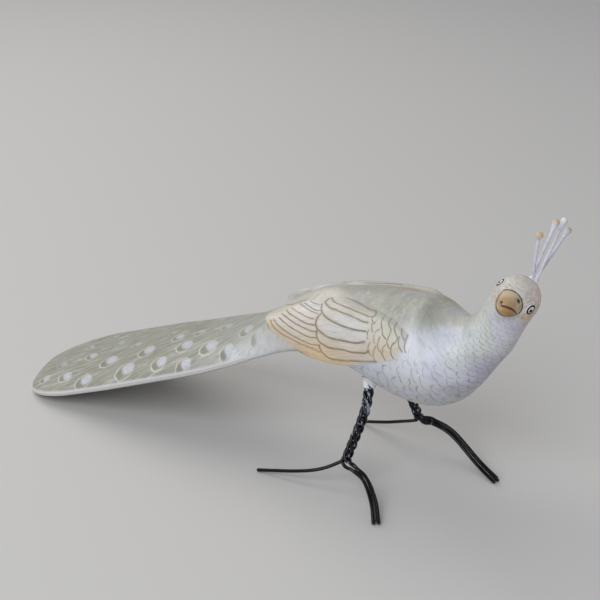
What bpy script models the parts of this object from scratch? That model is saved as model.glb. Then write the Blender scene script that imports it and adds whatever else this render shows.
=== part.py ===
"""A peacock figurine: one body of painted clay, two legs of twisted wire and a crest of wire plumes.

Metres, +X towards the breast, +Y to the bird's left, +Z up. It stands on its toes and on its tail tip.
"""

import math

import bmesh
import bpy
import numpy as np
from mathutils import Matrix, Vector

# The clay body's length drives its form: every outline below is drawn on a bird 300 units long
FIGURE_LENGTH = 0.300
UNIT = FIGURE_LENGTH / 300

# Wires, all their own stock sizes
LEG_WIRE = 0.0018
TWIST_PITCH = 0.019
STRAND_GAP = 0.0003
PLUME_WIRE = 0.0014

# Fits between clay and wire
SOCKET_CLEARANCE = 0.0003
LEG_SOCKET_DEPTH = 0.009
CREST_SOCKET_DEPTH = 0.005
SOCKET_FLOOR_GAP = 0.0004
BEAD_CLEARANCE = 0.0003

# How far a bead's bore runs on past the plume's drawn end
BEAD_BORE_REACH = 0.0005

# How far a cutter stands out past the face that it opens
CUTTER_OVERRUN = 0.0028

# The knob of paste round each wire root, and the beads on the plumes
KNOB_WALL = 0.0011
KNOB_LIP = 0.0004
KNOB_HEIGHT = 0.0014
KNOB_ROOT_SHARE = 0.5
BEAD_LIP = 0.0002
BALL_BEAD_WIDTH = 0.0038
BALL_BEAD_TAIL = 0.0015
DROP_BEAD_WIDTH = 0.0033
DROP_BEAD_TAIL = 0.0040


# How far a bead's middle sits past the plume's drawn end, as a share of its half width
BEAD_LIFT = 0.25

# Fineness of the mesh
AROUND = 28
RINGS = 45
WIRE_SIDES_RESOLUTION = 2
POINTS_PER_TURN = 8
SPAN_POINTS = 16
SOCKET_SIDES = 20
EYE_SIDES = 16
EYE_RINGS = 8
BEAD_SIDES = 10
BEAD_ARC_STEP = 26
BALL_ARC_POINTS = 5
DROP_ARC_POINTS = 4
TOE_STEP = 0.0055
TOE_CROWDING = 1.4
SHARP_ANGLE = 40
MERGE_DISTANCE = 0.00001

# Each kind of bead: its width, how far its tail runs down the wire, and the points of its round part
BEAD_KINDS = {
    "ball": (BALL_BEAD_WIDTH, BALL_BEAD_TAIL, BALL_ARC_POINTS),
    "drop": (DROP_BEAD_WIDTH, DROP_BEAD_TAIL, DROP_ARC_POINTS),
}

# How the clay leans towards its right side, in degrees, at the body and at the tail tip
BODY_ROLL = 9.0
TIP_ROLL = 5.0

# Where the tail begins, for the lean to ease out from, in units
TAIL_ROOT = -60.0

# Stations along the spine, in units: place along, height, sway, pitch of the spine in degrees,
# half width, height above and below the widest line, and how round the underside is (1 is an ellipse)
STATIONS = (
    (-178, 12.9, -3.4, 17, 35.9, 6.0, 3.4, 0.55),
    (-156, 21.5, -2.6, 20, 34.6, 7.0, 3.6, 0.55),
    (-138, 28.9, -2.5, 21, 32.9, 7.5, 3.8, 0.55),
    (-120, 36.0, -2.3, 22, 30.6, 8.0, 4.0, 0.60),
    (-104, 42.4, -1.6, 22, 29.2, 8.0, 4.4, 0.65),
    (-89, 48.4, -0.7, 22, 27.2, 8.5, 4.6, 0.70),
    (-75, 54.0, -0.2, 22, 23.2, 10.2, 4.6, 0.80),
    (-62, 59.8, 0, 21, 19.2, 12.6, 5.2, 0.90),
    (-47, 66.5, 0, 18, 16.8, 16.6, 6.4, 1.0),
    (-30, 72.5, 0, 11, 19.0, 22.2, 9.0, 1.0),
    (-16, 75.5, 0, 5, 22.0, 22.5, 12.2, 1.0),
    (-5, 76.8, 0, 3, 24.3, 23.3, 17.0, 1.0),
    (9, 77.5, 0, 3, 26.3, 23.9, 25.6, 1.0),
    (23, 78.0, 0, 10, 26.7, 24.1, 30.0, 1.0),
    (33, 79.4, 0, 22, 25.3, 24.3, 27.9, 1.0),
    (40, 81.4, 0, 34, 21.4, 21.8, 22.0, 1.0),
    (46, 84.6, 0, 44, 16.9, 15.4, 17.2, 1.0),
    (51, 88.8, 0, 50, 14.0, 11.0, 14.6, 1.0),
    (55.6, 94.0, 0, 54, 12.4, 10.6, 13.4, 1.0),
    (59.5, 99.6, 0, 57, 11.2, 10.6, 11.8, 1.0),
    (63, 105.6, 0, 58, 10.8, 10.7, 10.8, 1.0),
    (66.6, 113.0, 0, 58, 10.9, 10.9, 10.9, 1.0),
)
# The tail's rounded end: its reach, how far it drops and sways per unit of reach, where the sway
# dies away, its fullness, and how much thinner its edge is
TAIL_CAP_LENGTH = 37.5
TAIL_CAP_DROP = 0.30
TAIL_CAP_SWAY = -0.17
TAIL_CAP_SWAY_POWER = 6
TAIL_CAP_FULLNESS = 0.83
TAIL_CAP_THINNING = 0.5
TAIL_CAP_RINGS = 7
HEAD_CAP_RINGS = 6

# How far the last ring of each cap stops short of its pole, in steps between rings
TAIL_POLE_STEP = 0.35
HEAD_POLE_STEP = 0.5

# Wing stations in units: place along, height of the middle, half width, rise, thickness,
# then the upper and lower girth angle in degrees
WING_STATIONS = (
    (29.5, 78.5, 22.6, 20.6, 3.0, 42, 26),
    (22, 78.0, 26.9, 24.1, 4.5, 54, 16.5),
    (12, 77.6, 27.4, 24.4, 5.5, 65, 6),
    (-2, 76.9, 26.4, 23.8, 6.5, 76, -3.4),
    (-16, 76.0, 24.4, 22.8, 7.5, 83, -12),
    (-28, 75.2, 22.2, 20.8, 8.0, 86, -18.5),
    (-38, 74.8, 19.6, 17.6, 8.0, 82, -27),
    (-47, 74.6, 17.6, 14.0, 7.0, 74, -29),
    (-55, 74.8, 15.4, 9.6, 4.5, 58, -22),
    (-60.5, 75.2, 12.6, 5.4, 3.0, 40, 6),
)
# The wing's swell, its thickness at the edge as a share of the middle's, and how it rounds towards it
WING_FULLNESS = 0.82
WING_EDGE_THICKNESS = 0.35
WING_EDGE_POWER = 0.5
WING_EDGE_SOFTENING = 0.15
WING_POINTS = 9
WING_RINGS = 15

# The head looks to the bird's right, a little up, with its left side tipped down, in degrees
HEAD_TURN = -86.0
HEAD_LIFT = 10.0
HEAD_TILT = 33.5

# Beak stations in units: reach from the head's middle, half width, half height, rise of the middle
BEAK_STATIONS = (
    (0.0, 6.3, 5.8, 0.0),
    (6.0, 6.3, 5.8, 0.0),
    (9.0, 6.1, 5.6, -0.1),
    (12.2, 5.5, 5.1, -0.4),
    (14.8, 4.2, 3.9, -1.0),
    (16.8, 2.5, 2.3, -1.7),
)
BEAK_TIP = (17.9, -2.3)
# The beak sits a little to the right of the head's middle
BEAK_ASIDE = -0.4
BEAK_SIDES = 16

# Each eye's turn and lift from straight ahead and the lean of its oval, in degrees, then their sizes in units
EYE_PLACES = {"left": (54.0, 19.0, 23.0), "right": (68.0, 12.0, 0.0)}
EYE_RADIUS = 2.3
EYE_HEIGHT_RATIO = 1.2
EYE_SINK = 0.6
EYE_BULGE = 0.5

# Legs in units: hip on the clay, the shank's bow, the ankle, and each toe's points down to its tip
LEGS = {
    "right": {
        "hip": (0.0, -11.5, 57.0),
        "bow": (0.4, -17.5, 41.5),
        "ankle": (-5.0, -24.9, 17.5),
        "back_toe": ((-15.4, -29.2, 10.5), (-28.0, -33.0, 6.5), (-51.3, -36.2, 0.0)),
        "front_toes": ((0.6, -27.0, 14.5), (8.4, -29.4, 12.0), (16.4, -36.2, 6.5), (23.2, -46.0, 0.0)),
    },
    "left": {
        "hip": (2.6, 11.5, 59.0),
        "bow": (7.6, 16.5, 40.0),
        "ankle": (12.2, 22.0, 21.5),
        "back_toe": ((-0.9, 26.2, 13.0), (-11.4, 29.5, 7.5), (-27.8, 33.0, 0.0)),
        "front_toes": ((17.7, 26.9, 18.5), (29.0, 28.2, 14.0), (46.6, 22.6, 5.0), (59.0, 17.1, 0.0)),
    },
}
# Where each strand of the twist goes at the ankle
STRANDS = ("above", "left", "back", "right")
# The front toes: how they spread, over what reach they leave the twist in units, and how they swell there
TOE_SPLAY = 1.25
TOE_BLEND = 9.0
TOE_SWELL = 1.2

# The crest's foot on the crown, as a direction from the head's middle, in the figure's axes
CREST_FOOT = (0.434, 0.626, 0.643)

# Crest plumes in units: each tip's place from the foot of the crest, in the figure's axes
PLUMES = (
    ((2.0, -3.4, 23.8), "ball"),
    ((4.3, 10.7, 25.6), "drop"),
    ((5.9, 17.4, 24.3), "drop"),
    ((6.0, 24.0, 17.4), "drop"),
)


def clear_scene():
    for item in list(bpy.data.objects):
        bpy.data.objects.remove(item, do_unlink=True)


def collection(name):
    made = bpy.data.collections.new(name)
    bpy.context.scene.collection.children.link(made)
    return made


def material(name, colour, roughness, metallic=0.0):
    made = bpy.data.materials.new(name)
    made.use_nodes = True
    shader = made.node_tree.nodes["Principled BSDF"]
    shader.inputs["Base Color"].default_value = (*colour, 1.0)
    shader.inputs["Roughness"].default_value = roughness
    shader.inputs["Metallic"].default_value = metallic
    return made


def through(rows, count):
    """Rows read from a smooth curve that passes through every given row."""
    rows = np.array(rows, float)
    ends = np.vstack([2 * rows[0] - rows[1], rows, 2 * rows[-1] - rows[-2]])
    places = np.linspace(0, len(rows) - 1, count)
    made = []
    for place in places:
        start = min(int(place), len(rows) - 2)
        t = place - start
        a, b, c, d = ends[start : start + 4]
        bend = (2 * a - 5 * b + 4 * c - d) * t**2 + (3 * b - a - 3 * c + d) * t**3
        made.append(b + 0.5 * ((c - a) * t + bend))
    return np.array(made)


def loft(name, rings, first_pole=None, last_pole=None):
    """A closed mesh through rings of points, each end closed by a pole or by one flat face."""
    mesh = bmesh.new()
    made = [[mesh.verts.new(point) for point in ring] for ring in rings]
    sides = len(made[0])
    for near, far in zip(made, made[1:]):
        for k in range(sides):
            after = (k + 1) % sides
            mesh.faces.new((near[k], near[after], far[after], far[k]))
    for ring, pole in ((made[0], first_pole), (made[-1], last_pole)):
        if pole is None:
            mesh.faces.new(ring)
            continue
        centre = mesh.verts.new(pole)
        for k in range(sides):
            mesh.faces.new((ring[k], ring[(k + 1) % sides], centre))
    bmesh.ops.recalc_face_normals(mesh, faces=mesh.faces)
    data = bpy.data.meshes.new(name)
    mesh.to_mesh(data)
    mesh.free()
    data.shade_smooth()
    data.set_sharp_from_angle(angle=math.radians(SHARP_ANGLE))
    return bpy.data.objects.new(name, data)


def roll_at(place):
    """The lean of the clay in radians, easing out along the tail."""
    tip = STATIONS[0][0] - TAIL_CAP_LENGTH
    share = min(max((place - tip) / (TAIL_ROOT - tip), 0.0), 1.0)
    return math.radians(TIP_ROLL + (BODY_ROLL - TIP_ROLL) * share)


def ring_points(row):
    place, height, sway, pitch, half_width, up, down, round_under = row
    pitch = math.radians(pitch)
    turn = Matrix.Rotation(roll_at(place), 3, "X")
    up_axis = Vector((-math.sin(pitch), 0, math.cos(pitch)))
    centre = Vector((place, sway, height))
    points = []
    for k in range(AROUND):
        angle = 2 * math.pi * k / AROUND
        across, rise = math.cos(angle), math.sin(angle)
        power = 1.0 if rise >= 0 else round_under
        side = half_width * math.copysign(abs(across) ** power, across)
        lift = (up if rise >= 0 else down) * math.copysign(abs(rise) ** power, rise)
        points.append((centre + turn @ (Vector((0, side, 0)) + up_axis * lift)) * UNIT)
    return points


def tail_cap_rows():
    """Rows from the tail's rounded end to its last full section."""
    place, height, sway, pitch, half_width, up, down, round_under = STATIONS[0]
    rows = []
    for k in range(TAIL_CAP_RINGS, 0, -1):
        angle = 0.5 * math.pi * k / (TAIL_CAP_RINGS + TAIL_POLE_STEP)
        reach = TAIL_CAP_LENGTH * math.sin(angle) ** TAIL_CAP_FULLNESS
        width = half_width * math.cos(angle) ** TAIL_CAP_FULLNESS
        thin = 1 - TAIL_CAP_THINNING * (1 - math.cos(angle))
        aside = TAIL_CAP_SWAY * reach * (1 - (reach / TAIL_CAP_LENGTH) ** TAIL_CAP_SWAY_POWER)
        centre = (place - reach, height - TAIL_CAP_DROP * reach, sway + aside)
        rows.append((*centre, pitch, width, up * thin, down * thin, round_under))
    return rows


def head_centre():
    place, height, sway = STATIONS[-1][:3]
    return Vector((place, sway, height))


def neck_axis():
    pitch = math.radians(STATIONS[-1][3])
    return Vector((math.cos(pitch), 0, math.sin(pitch)))


def head_axes():
    """The head's forward, left and up, once it is tipped, lifted and turned."""
    tip = Matrix.Rotation(math.radians(-HEAD_TILT), 3, "X")
    lift = Matrix.Rotation(math.radians(-HEAD_LIFT), 3, "Y")
    turn = Matrix.Rotation(math.radians(HEAD_TURN), 3, "Z")
    pose = turn @ lift @ tip
    return pose.col[0].copy(), pose.col[1].copy(), pose.col[2].copy()


def body_form():
    rows = through(STATIONS, RINGS)
    rings = [ring_points(row) for row in tail_cap_rows()] + [ring_points(row) for row in rows]
    place, height, sway, pitch, radius = rows[-1][:5]
    along = neck_axis()
    for k in range(1, HEAD_CAP_RINGS + 1):
        angle = 0.5 * math.pi * k / (HEAD_CAP_RINGS + HEAD_POLE_STEP)
        centre = Vector((place, sway, height)) + along * radius * math.sin(angle)
        small = radius * math.cos(angle)
        rings.append(ring_points((centre.x, centre.z, centre.y, pitch, small, small, small, 1.0)))
    crown = (Vector((place, sway, height)) + along * radius) * UNIT
    first = tail_cap_rows()[0]
    tip = Vector((STATIONS[0][0] - TAIL_CAP_LENGTH, first[2], first[1])) * UNIT
    return loft("body", rings, tip, crown)


def wing_form(side):
    """A slab laid on the body's flank, from the shoulder to a tip that stands off the tail root."""
    rings = []
    for place, height, half_width, rise, thick, upper, lower in through(WING_STATIONS, WING_RINGS):
        turn = Matrix.Rotation(roll_at(place), 3, "X")
        centre = Vector((place, 0, height))
        outer, inner = [], []
        for k in range(WING_POINTS):
            share = k / (WING_POINTS - 1)
            angle = math.radians(lower + (upper - lower) * share)
            edge = math.sin(math.pi * share) ** WING_EDGE_POWER
            across = math.cos(angle) ** WING_FULLNESS
            lift = math.copysign(abs(math.sin(angle)) ** WING_FULLNESS, angle)
            base = Vector((0, side * half_width * across, rise * lift))
            out = Vector((0, side * math.cos(angle), math.sin(angle)))
            outer.append(base - out * (1 - edge) * WING_EDGE_SOFTENING * thick)
            depth = WING_EDGE_THICKNESS + (1 - WING_EDGE_THICKNESS) * edge
            inner.append(base - out * thick * depth)
        rings.append([(centre + turn @ point) * UNIT for point in outer + inner[::-1]])
    return loft("wing_form", rings)


def beak_form():
    forward, left, up = head_axes()
    centre = head_centre()
    rings = []
    for reach, width, height, rise in BEAK_STATIONS:
        ring = []
        for k in range(BEAK_SIDES):
            angle = 2 * math.pi * k / BEAK_SIDES
            across = left * (width * math.cos(angle) + BEAK_ASIDE) + up * (height * math.sin(angle) + rise)
            ring.append((centre + forward * reach + across) * UNIT)
        rings.append(ring)
    tip = (centre + forward * BEAK_TIP[0] + left * BEAK_ASIDE + up * BEAK_TIP[1]) * UNIT
    return loft("beak_form", rings, None, tip)


def turned_cylinder(name, start, end, start_radius, end_radius):
    """A cylinder or a cone between two points."""
    mesh = bmesh.new()
    span = end - start
    radii = {"radius1": start_radius, "radius2": end_radius}
    bmesh.ops.create_cone(mesh, cap_ends=True, segments=SOCKET_SIDES, depth=span.length, **radii)
    place = Matrix.Translation((start + end) / 2) @ span.to_track_quat("Z", "Y").to_matrix().to_4x4()
    bmesh.ops.transform(mesh, matrix=place, verts=mesh.verts)
    data = bpy.data.meshes.new(name)
    mesh.to_mesh(data)
    mesh.free()
    return bpy.data.objects.new(name, data)


def ellipsoid(name, centre, axes, radii):
    mesh = bmesh.new()
    bmesh.ops.create_uvsphere(mesh, u_segments=EYE_SIDES, v_segments=EYE_RINGS, radius=1.0)
    columns = [axis * radius for axis, radius in zip(axes, radii)]
    frame = Matrix(columns).transposed().to_4x4()
    bmesh.ops.transform(mesh, matrix=Matrix.Translation(centre) @ frame, verts=mesh.verts)
    bmesh.ops.recalc_face_normals(mesh, faces=mesh.faces)
    data = bpy.data.meshes.new(name)
    mesh.to_mesh(data)
    mesh.free()
    return bpy.data.objects.new(name, data)


def strand_radius():
    """How far a strand's middle lies from the middle of a twist of four, whose strands lean as they turn."""
    upright = (LEG_WIRE + STRAND_GAP) / math.sqrt(2)
    return upright / math.sqrt(1 - (2 * math.pi * upright / TWIST_PITCH) ** 2)


def leg_bundle_radius():
    return strand_radius() + LEG_WIRE / 2


def leg_points(side):
    return {key: np.array(value) * UNIT for key, value in LEGS[side].items()}


def hip_line(side):
    """The point where the shank meets the clay, and its direction there, up into the clay."""
    leg = leg_points(side)
    upward = Vector(leg["hip"] - leg["bow"]).normalized()
    hip = Vector(leg["hip"])
    return hip, upward


def crest_line():
    """The foot of the crest on the crown, its direction, and two axes across it."""
    mean = sum((Vector(tip) for tip, kind in PLUMES), Vector())
    direction = mean.normalized()
    root = (head_centre() + Vector(CREST_FOOT).normalized() * STATIONS[-1][4]) * UNIT
    fan = Vector(PLUMES[-1][0]) - Vector(PLUMES[0][0])
    fan = (fan - direction * fan.dot(direction)).normalized()
    return root, direction, fan, direction.cross(fan)


def crest_ring_radius():
    return (PLUME_WIRE + STRAND_GAP) / math.sqrt(2)


def crest_bundle_radius():
    return crest_ring_radius() + PLUME_WIRE / 2


def add_boolean(target, tool, operation, helpers):
    helpers.objects.link(tool)
    tool.hide_render = True
    tool.display_type = "WIRE"
    step = target.modifiers.new(tool.name, "BOOLEAN")
    step.operation = operation
    step.object = tool
    step.solver = "EXACT"


def make_body(parts, helpers, clay):
    body = body_form()
    body.data.materials.append(clay)
    parts.objects.link(body)
    for side, word in ((1, "left"), (-1, "right")):
        wing = wing_form(side)
        wing.name = "wing_form_" + word
        add_boolean(body, wing, "UNION", helpers)
    add_boolean(body, beak_form(), "UNION", helpers)
    forward, left, up = head_axes()
    for side, word in ((1, "left"), (-1, "right")):
        turn, lift, lean = (math.radians(angle) for angle in EYE_PLACES[word])
        outward = Matrix.Rotation(side * turn, 3, up) @ forward
        hinge = outward.cross(up)
        outward = Matrix.Rotation(lift, 3, hinge) @ outward
        hinge = Matrix.Rotation(-lean, 3, outward) @ hinge
        high = hinge.cross(outward)
        head_radius = STATIONS[-1][4]
        centre = (head_centre() + outward * (head_radius - EYE_SINK)) * UNIT
        radii = (EYE_RADIUS * UNIT, EYE_RADIUS * EYE_HEIGHT_RATIO * UNIT, (EYE_SINK + EYE_BULGE) * UNIT)
        eye = ellipsoid("eye_form_" + word, centre, (hinge, high, outward), radii)
        add_boolean(body, eye, "UNION", helpers)
    for word in LEGS:
        hip, upward = hip_line(word)
        bore = leg_bundle_radius() + SOCKET_CLEARANCE
        knob_mouth = hip - upward * KNOB_HEIGHT
        knob_root = hip + upward * LEG_SOCKET_DEPTH * KNOB_ROOT_SHARE
        knob = turned_cylinder("knob_" + word, knob_mouth, knob_root, bore + KNOB_LIP, bore + KNOB_WALL)
        add_boolean(body, knob, "UNION", helpers)
        socket_top = hip + upward * LEG_SOCKET_DEPTH
        socket_end = knob_mouth - upward * CUTTER_OVERRUN
        socket = turned_cylinder("socket_" + word, socket_end, socket_top, bore, bore)
        add_boolean(body, socket, "DIFFERENCE", helpers)
    root, direction = crest_line()[:2]
    bore = crest_bundle_radius() + SOCKET_CLEARANCE
    deep = root - direction * CREST_SOCKET_DEPTH
    crest_socket = turned_cylinder("crest_socket", deep, root + direction * CUTTER_OVERRUN, bore, bore)
    add_boolean(body, crest_socket, "DIFFERENCE", helpers)
    floor = bmesh.new()
    size = 2 * FIGURE_LENGTH
    bmesh.ops.create_cube(floor, size=size)
    bmesh.ops.translate(floor, vec=(0, 0, -size / 2), verts=floor.verts)
    data = bpy.data.meshes.new("ground_flat")
    floor.to_mesh(data)
    floor.free()
    add_boolean(body, bpy.data.objects.new("ground_flat", data), "DIFFERENCE", helpers)
    return body


def frames(path, ankle):
    """Two axes across a path: level ones below the ankle, and ones carried up from it without twist above."""
    steps = np.diff(path, axis=0)
    steps /= np.linalg.norm(steps, axis=1)[:, None]
    tangents = np.vstack([steps[:1], steps[:-1] + steps[1:], steps[-1:]])
    tangents /= np.linalg.norm(tangents, axis=1)[:, None]
    normals = np.empty_like(path)
    for k in range(ankle, len(path)):
        normals[k] = across((0.0, 0.0, 1.0), tangents[k])
    for k in range(ankle - 1, -1, -1):
        normals[k] = across(normals[k + 1], tangents[k])
    return normals, np.cross(tangents, normals)


def across(direction, tangent):
    flat = np.array(direction) - tangent * tangent.dot(direction)
    return flat / np.linalg.norm(flat)


def smooth(points, skip=0):
    """A smooth path through the points, leaving out its first spans."""
    return through(points, SPAN_POINTS * (len(points) - 1) + 1)[skip * SPAN_POINTS :]


def spaced(points, gap, crowding=1.0):
    """The same path with its points evenly spaced, or crowded towards its start."""
    steps = np.linalg.norm(np.diff(points, axis=0), axis=1)
    travelled = np.concatenate([[0], np.cumsum(steps)])
    count = max(round(travelled[-1] / gap), 2) + 1
    places = travelled[-1] * np.linspace(0, 1, count) ** crowding
    return np.stack([np.interp(places, travelled, points[:, k]) for k in range(3)], axis=1)


def wire(name, points, diameter, finish, parts):
    curve = bpy.data.curves.new(name, "CURVE")
    curve.dimensions = "3D"
    curve.bevel_depth = diameter / 2
    curve.bevel_resolution = WIRE_SIDES_RESOLUTION
    curve.use_fill_caps = True
    spline = curve.splines.new("POLY")
    spline.points.add(len(points) - 1)
    for spot, point in zip(spline.points, points):
        spot.co = (*point, 1.0)
    curve.materials.append(finish)
    made = bpy.data.objects.new(name, curve)
    parts.objects.link(made)
    return made


def make_leg(side, parts, finish):
    """Four strands twisted into a shank: three run forward as one bundle of toes, one runs back."""
    leg = leg_points(side)
    hip, upward = hip_line(side)
    top = np.array(hip + upward * (LEG_SOCKET_DEPTH - SOCKET_FLOOR_GAP))
    # A bundle of three is a triangle, with one strand above the other two
    spacing = LEG_WIRE + STRAND_GAP
    above, below = spacing / math.sqrt(3), -spacing / math.sqrt(12)
    bundle = {"above": (above, 0.0), "left": (below, spacing / 2), "right": (below, -spacing / 2)}
    front = [*leg["front_toes"][:-1], leg["front_toes"][-1] + (0, 0, LEG_WIRE / 2 - TOE_SPLAY * below)]
    back = [*leg["back_toe"][:-1], leg["back_toe"][-1] + (0, 0, LEG_WIRE / 2)]
    shank = spaced(smooth([top, leg["hip"], leg["bow"], leg["ankle"]]), TWIST_PITCH / POINTS_PER_TURN)
    toe = spaced(smooth([leg["bow"], leg["ankle"], *front], skip=1), TOE_STEP, TOE_CROWDING)
    path = np.vstack([shank, toe[1:]])
    ankle = len(shank) - 1
    normals, sides = frames(path, ankle)
    travelled = np.linalg.norm(np.diff(path, axis=0), axis=1).cumsum()
    travelled = np.append(0, travelled) - travelled[ankle - 1]
    radius = strand_radius()
    for number, strand in enumerate(STRANDS):
        phase = 2 * math.pi * number / len(STRANDS)
        start = radius * np.array((math.cos(phase), math.sin(phase)))
        points = []
        for k in range(len(path)):
            turns = max(ankle - k, 0) / POINTS_PER_TURN
            angle = phase + 2 * math.pi * turns
            offset = radius * np.array((math.cos(angle), math.sin(angle)))
            if k > ankle and strand == "back":
                break
            if k > ankle:
                share = min(travelled[k] / (TOE_BLEND * UNIT), 1.0)
                splay = 1 + (TOE_SPLAY - 1) * travelled[k] / travelled[-1]
                swell = 1 + TOE_SWELL * share * (1 - share)
                offset = swell * ((1 - share) * start + share * splay * np.array(bundle[strand]))
            points.append(path[k] + offset[0] * normals[k] + offset[1] * sides[k])
        if strand == "back":
            heel = smooth([points[-2], points[-1], *back], skip=1)
            points += list(spaced(heel, TOE_STEP, TOE_CROWDING)[1:])
        wire(f"leg_{side}_wire_{number + 1}", points, LEG_WIRE, finish, parts)


def make_bead(name, kind, tip, direction, finish, parts):
    """A bead turned about the plume's end: a round top, a tail down the wire and a blind hole for it."""
    width, tail, arc_points = BEAD_KINDS[kind]
    bore = PLUME_WIRE / 2 + BEAD_CLEARANCE
    half = width / 2
    profile = [(0.0, half * (1 + BEAD_LIFT))]
    for k in range(1, arc_points + 1):
        angle = math.radians(90 - BEAD_ARC_STEP * k)
        profile.append((half * math.cos(angle), half * (BEAD_LIFT + math.sin(angle))))
    profile += [(bore + BEAD_LIP, -tail), (bore, -tail)]
    profile += [(bore, BEAD_BORE_REACH), (0.0, BEAD_BORE_REACH)]
    mesh = bmesh.new()
    spots = [mesh.verts.new((radius, 0, height)) for radius, height in profile]
    for near, far in zip(spots, spots[1:]):
        mesh.edges.new((near, far))
    data = bpy.data.meshes.new(name)
    mesh.to_mesh(data)
    mesh.free()
    data.materials.append(finish)
    bead = bpy.data.objects.new(name, data)
    turn = bead.modifiers.new("turn", "SCREW")
    turn.steps = turn.render_steps = BEAD_SIDES
    turn.use_merge_vertices = True
    turn.merge_threshold = MERGE_DISTANCE
    turn.use_normal_calculate = True
    bead.matrix_world = Matrix.Translation(tip) @ direction.to_track_quat("Z", "Y").to_matrix().to_4x4()
    parts.objects.link(bead)


def make_crest(parts, plume_finish, bead_finish):
    root, direction, fan, crosswise = crest_line()
    ring = crest_ring_radius()
    start = root - direction * (CREST_SOCKET_DEPTH - SOCKET_FLOOR_GAP)
    # The first and last feet lie at the fan's ends, the middle two either side of it
    feet = (-fan * ring, crosswise * ring, -crosswise * ring, fan * ring)
    for k, (foot, (tip, kind)) in enumerate(zip(feet, PLUMES)):
        mouth = root + foot
        end = root + Vector(tip) * UNIT
        reach = (end - mouth).normalized()
        make_bead(f"crest_bead_{k + 1}", kind, end, reach, bead_finish, parts)
        last = end + reach * (BEAD_BORE_REACH - BEAD_CLEARANCE)
        points = [start + foot, mouth, mouth + direction * PLUME_WIRE, mouth.lerp(end, 0.5), last]
        wire(f"crest_plume_{k + 1}", points, PLUME_WIRE, plume_finish, parts)


def centre_on_origin(parts, helpers):
    """Moves everything so that the figure's plan is centred on the origin. Its feet are at zero already."""
    bpy.context.view_layer.update()
    graph = bpy.context.evaluated_depsgraph_get()
    low, high = Vector((1, 1, 1)), Vector((-1, -1, -1))
    for item in parts.objects:
        shape = item.evaluated_get(graph)
        for vertex in shape.to_mesh().vertices:
            spot = item.matrix_world @ vertex.co
            low = Vector(map(min, low, spot))
            high = Vector(map(max, high, spot))
        shape.to_mesh_clear()
    middle = (low + high) / 2
    for item in (*parts.objects, *helpers.objects):
        item.matrix_world.translation -= Vector((middle.x, middle.y, 0))


def main():
    clear_scene()
    parts = collection("peacock_figurine")
    helpers = collection("helpers")
    clay = material("painted_clay", (0.66, 0.65, 0.62), 0.42)
    black_wire = material("black_wire", (0.012, 0.012, 0.014), 0.28)
    plume_paint = material("plume_paint", (0.72, 0.70, 0.69), 0.45)
    bead_paint = material("bead_paint", (0.60, 0.47, 0.33), 0.5)
    make_body(parts, helpers, clay)
    for side in LEGS:
        make_leg(side, parts, black_wire)
    make_crest(parts, plume_paint, bead_paint)
    centre_on_origin(parts, helpers)


main()
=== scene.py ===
# %% [markdown]
# A peacock of painted clay on twisted wire legs
#
# The real figurine is one body of pale fired clay with a satin paint finish. Its legs are four
# black wires twisted together, its crest is four white wires that end in little beads. This lesson
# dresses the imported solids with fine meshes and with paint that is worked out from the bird's own
# shape.

# %% Load the frame
import math

import bpy
import numpy as np
from mathutils import Matrix, Vector
from mathutils.bvhtree import BVHTree


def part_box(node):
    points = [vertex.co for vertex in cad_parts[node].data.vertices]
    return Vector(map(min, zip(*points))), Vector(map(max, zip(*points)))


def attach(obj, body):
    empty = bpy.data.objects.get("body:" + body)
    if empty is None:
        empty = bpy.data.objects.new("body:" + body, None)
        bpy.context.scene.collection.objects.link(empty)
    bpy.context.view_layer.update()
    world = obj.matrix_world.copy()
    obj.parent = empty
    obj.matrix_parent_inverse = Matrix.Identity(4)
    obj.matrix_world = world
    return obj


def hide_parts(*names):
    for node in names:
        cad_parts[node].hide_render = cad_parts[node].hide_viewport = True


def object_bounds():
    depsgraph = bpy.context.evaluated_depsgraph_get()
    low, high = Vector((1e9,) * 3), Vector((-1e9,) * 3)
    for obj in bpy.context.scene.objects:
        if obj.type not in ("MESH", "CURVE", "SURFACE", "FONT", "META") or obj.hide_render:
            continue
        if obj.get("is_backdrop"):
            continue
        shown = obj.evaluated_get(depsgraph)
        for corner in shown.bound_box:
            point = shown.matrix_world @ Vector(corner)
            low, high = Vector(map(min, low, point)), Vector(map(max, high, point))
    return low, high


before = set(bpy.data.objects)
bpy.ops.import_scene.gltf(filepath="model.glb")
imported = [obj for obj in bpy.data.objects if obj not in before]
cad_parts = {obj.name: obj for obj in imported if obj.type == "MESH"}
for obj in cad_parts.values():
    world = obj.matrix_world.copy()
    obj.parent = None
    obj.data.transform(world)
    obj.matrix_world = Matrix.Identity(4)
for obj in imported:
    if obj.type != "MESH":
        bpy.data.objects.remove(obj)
cad_box = [list(corner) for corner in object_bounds()]
print("The packed solids:", sorted(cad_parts))

# %% [markdown]
# The drawing
#
# The clay is drawn as stations along the bird's spine, in millimetres, the way a boat is drawn by
# its frames. These are the same stations as the solid's, so that the fine skin lies on it. Between
# stations, each value is read from a smooth curve that passes through all of them.

# %% The body's stations
MM = 0.001

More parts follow.
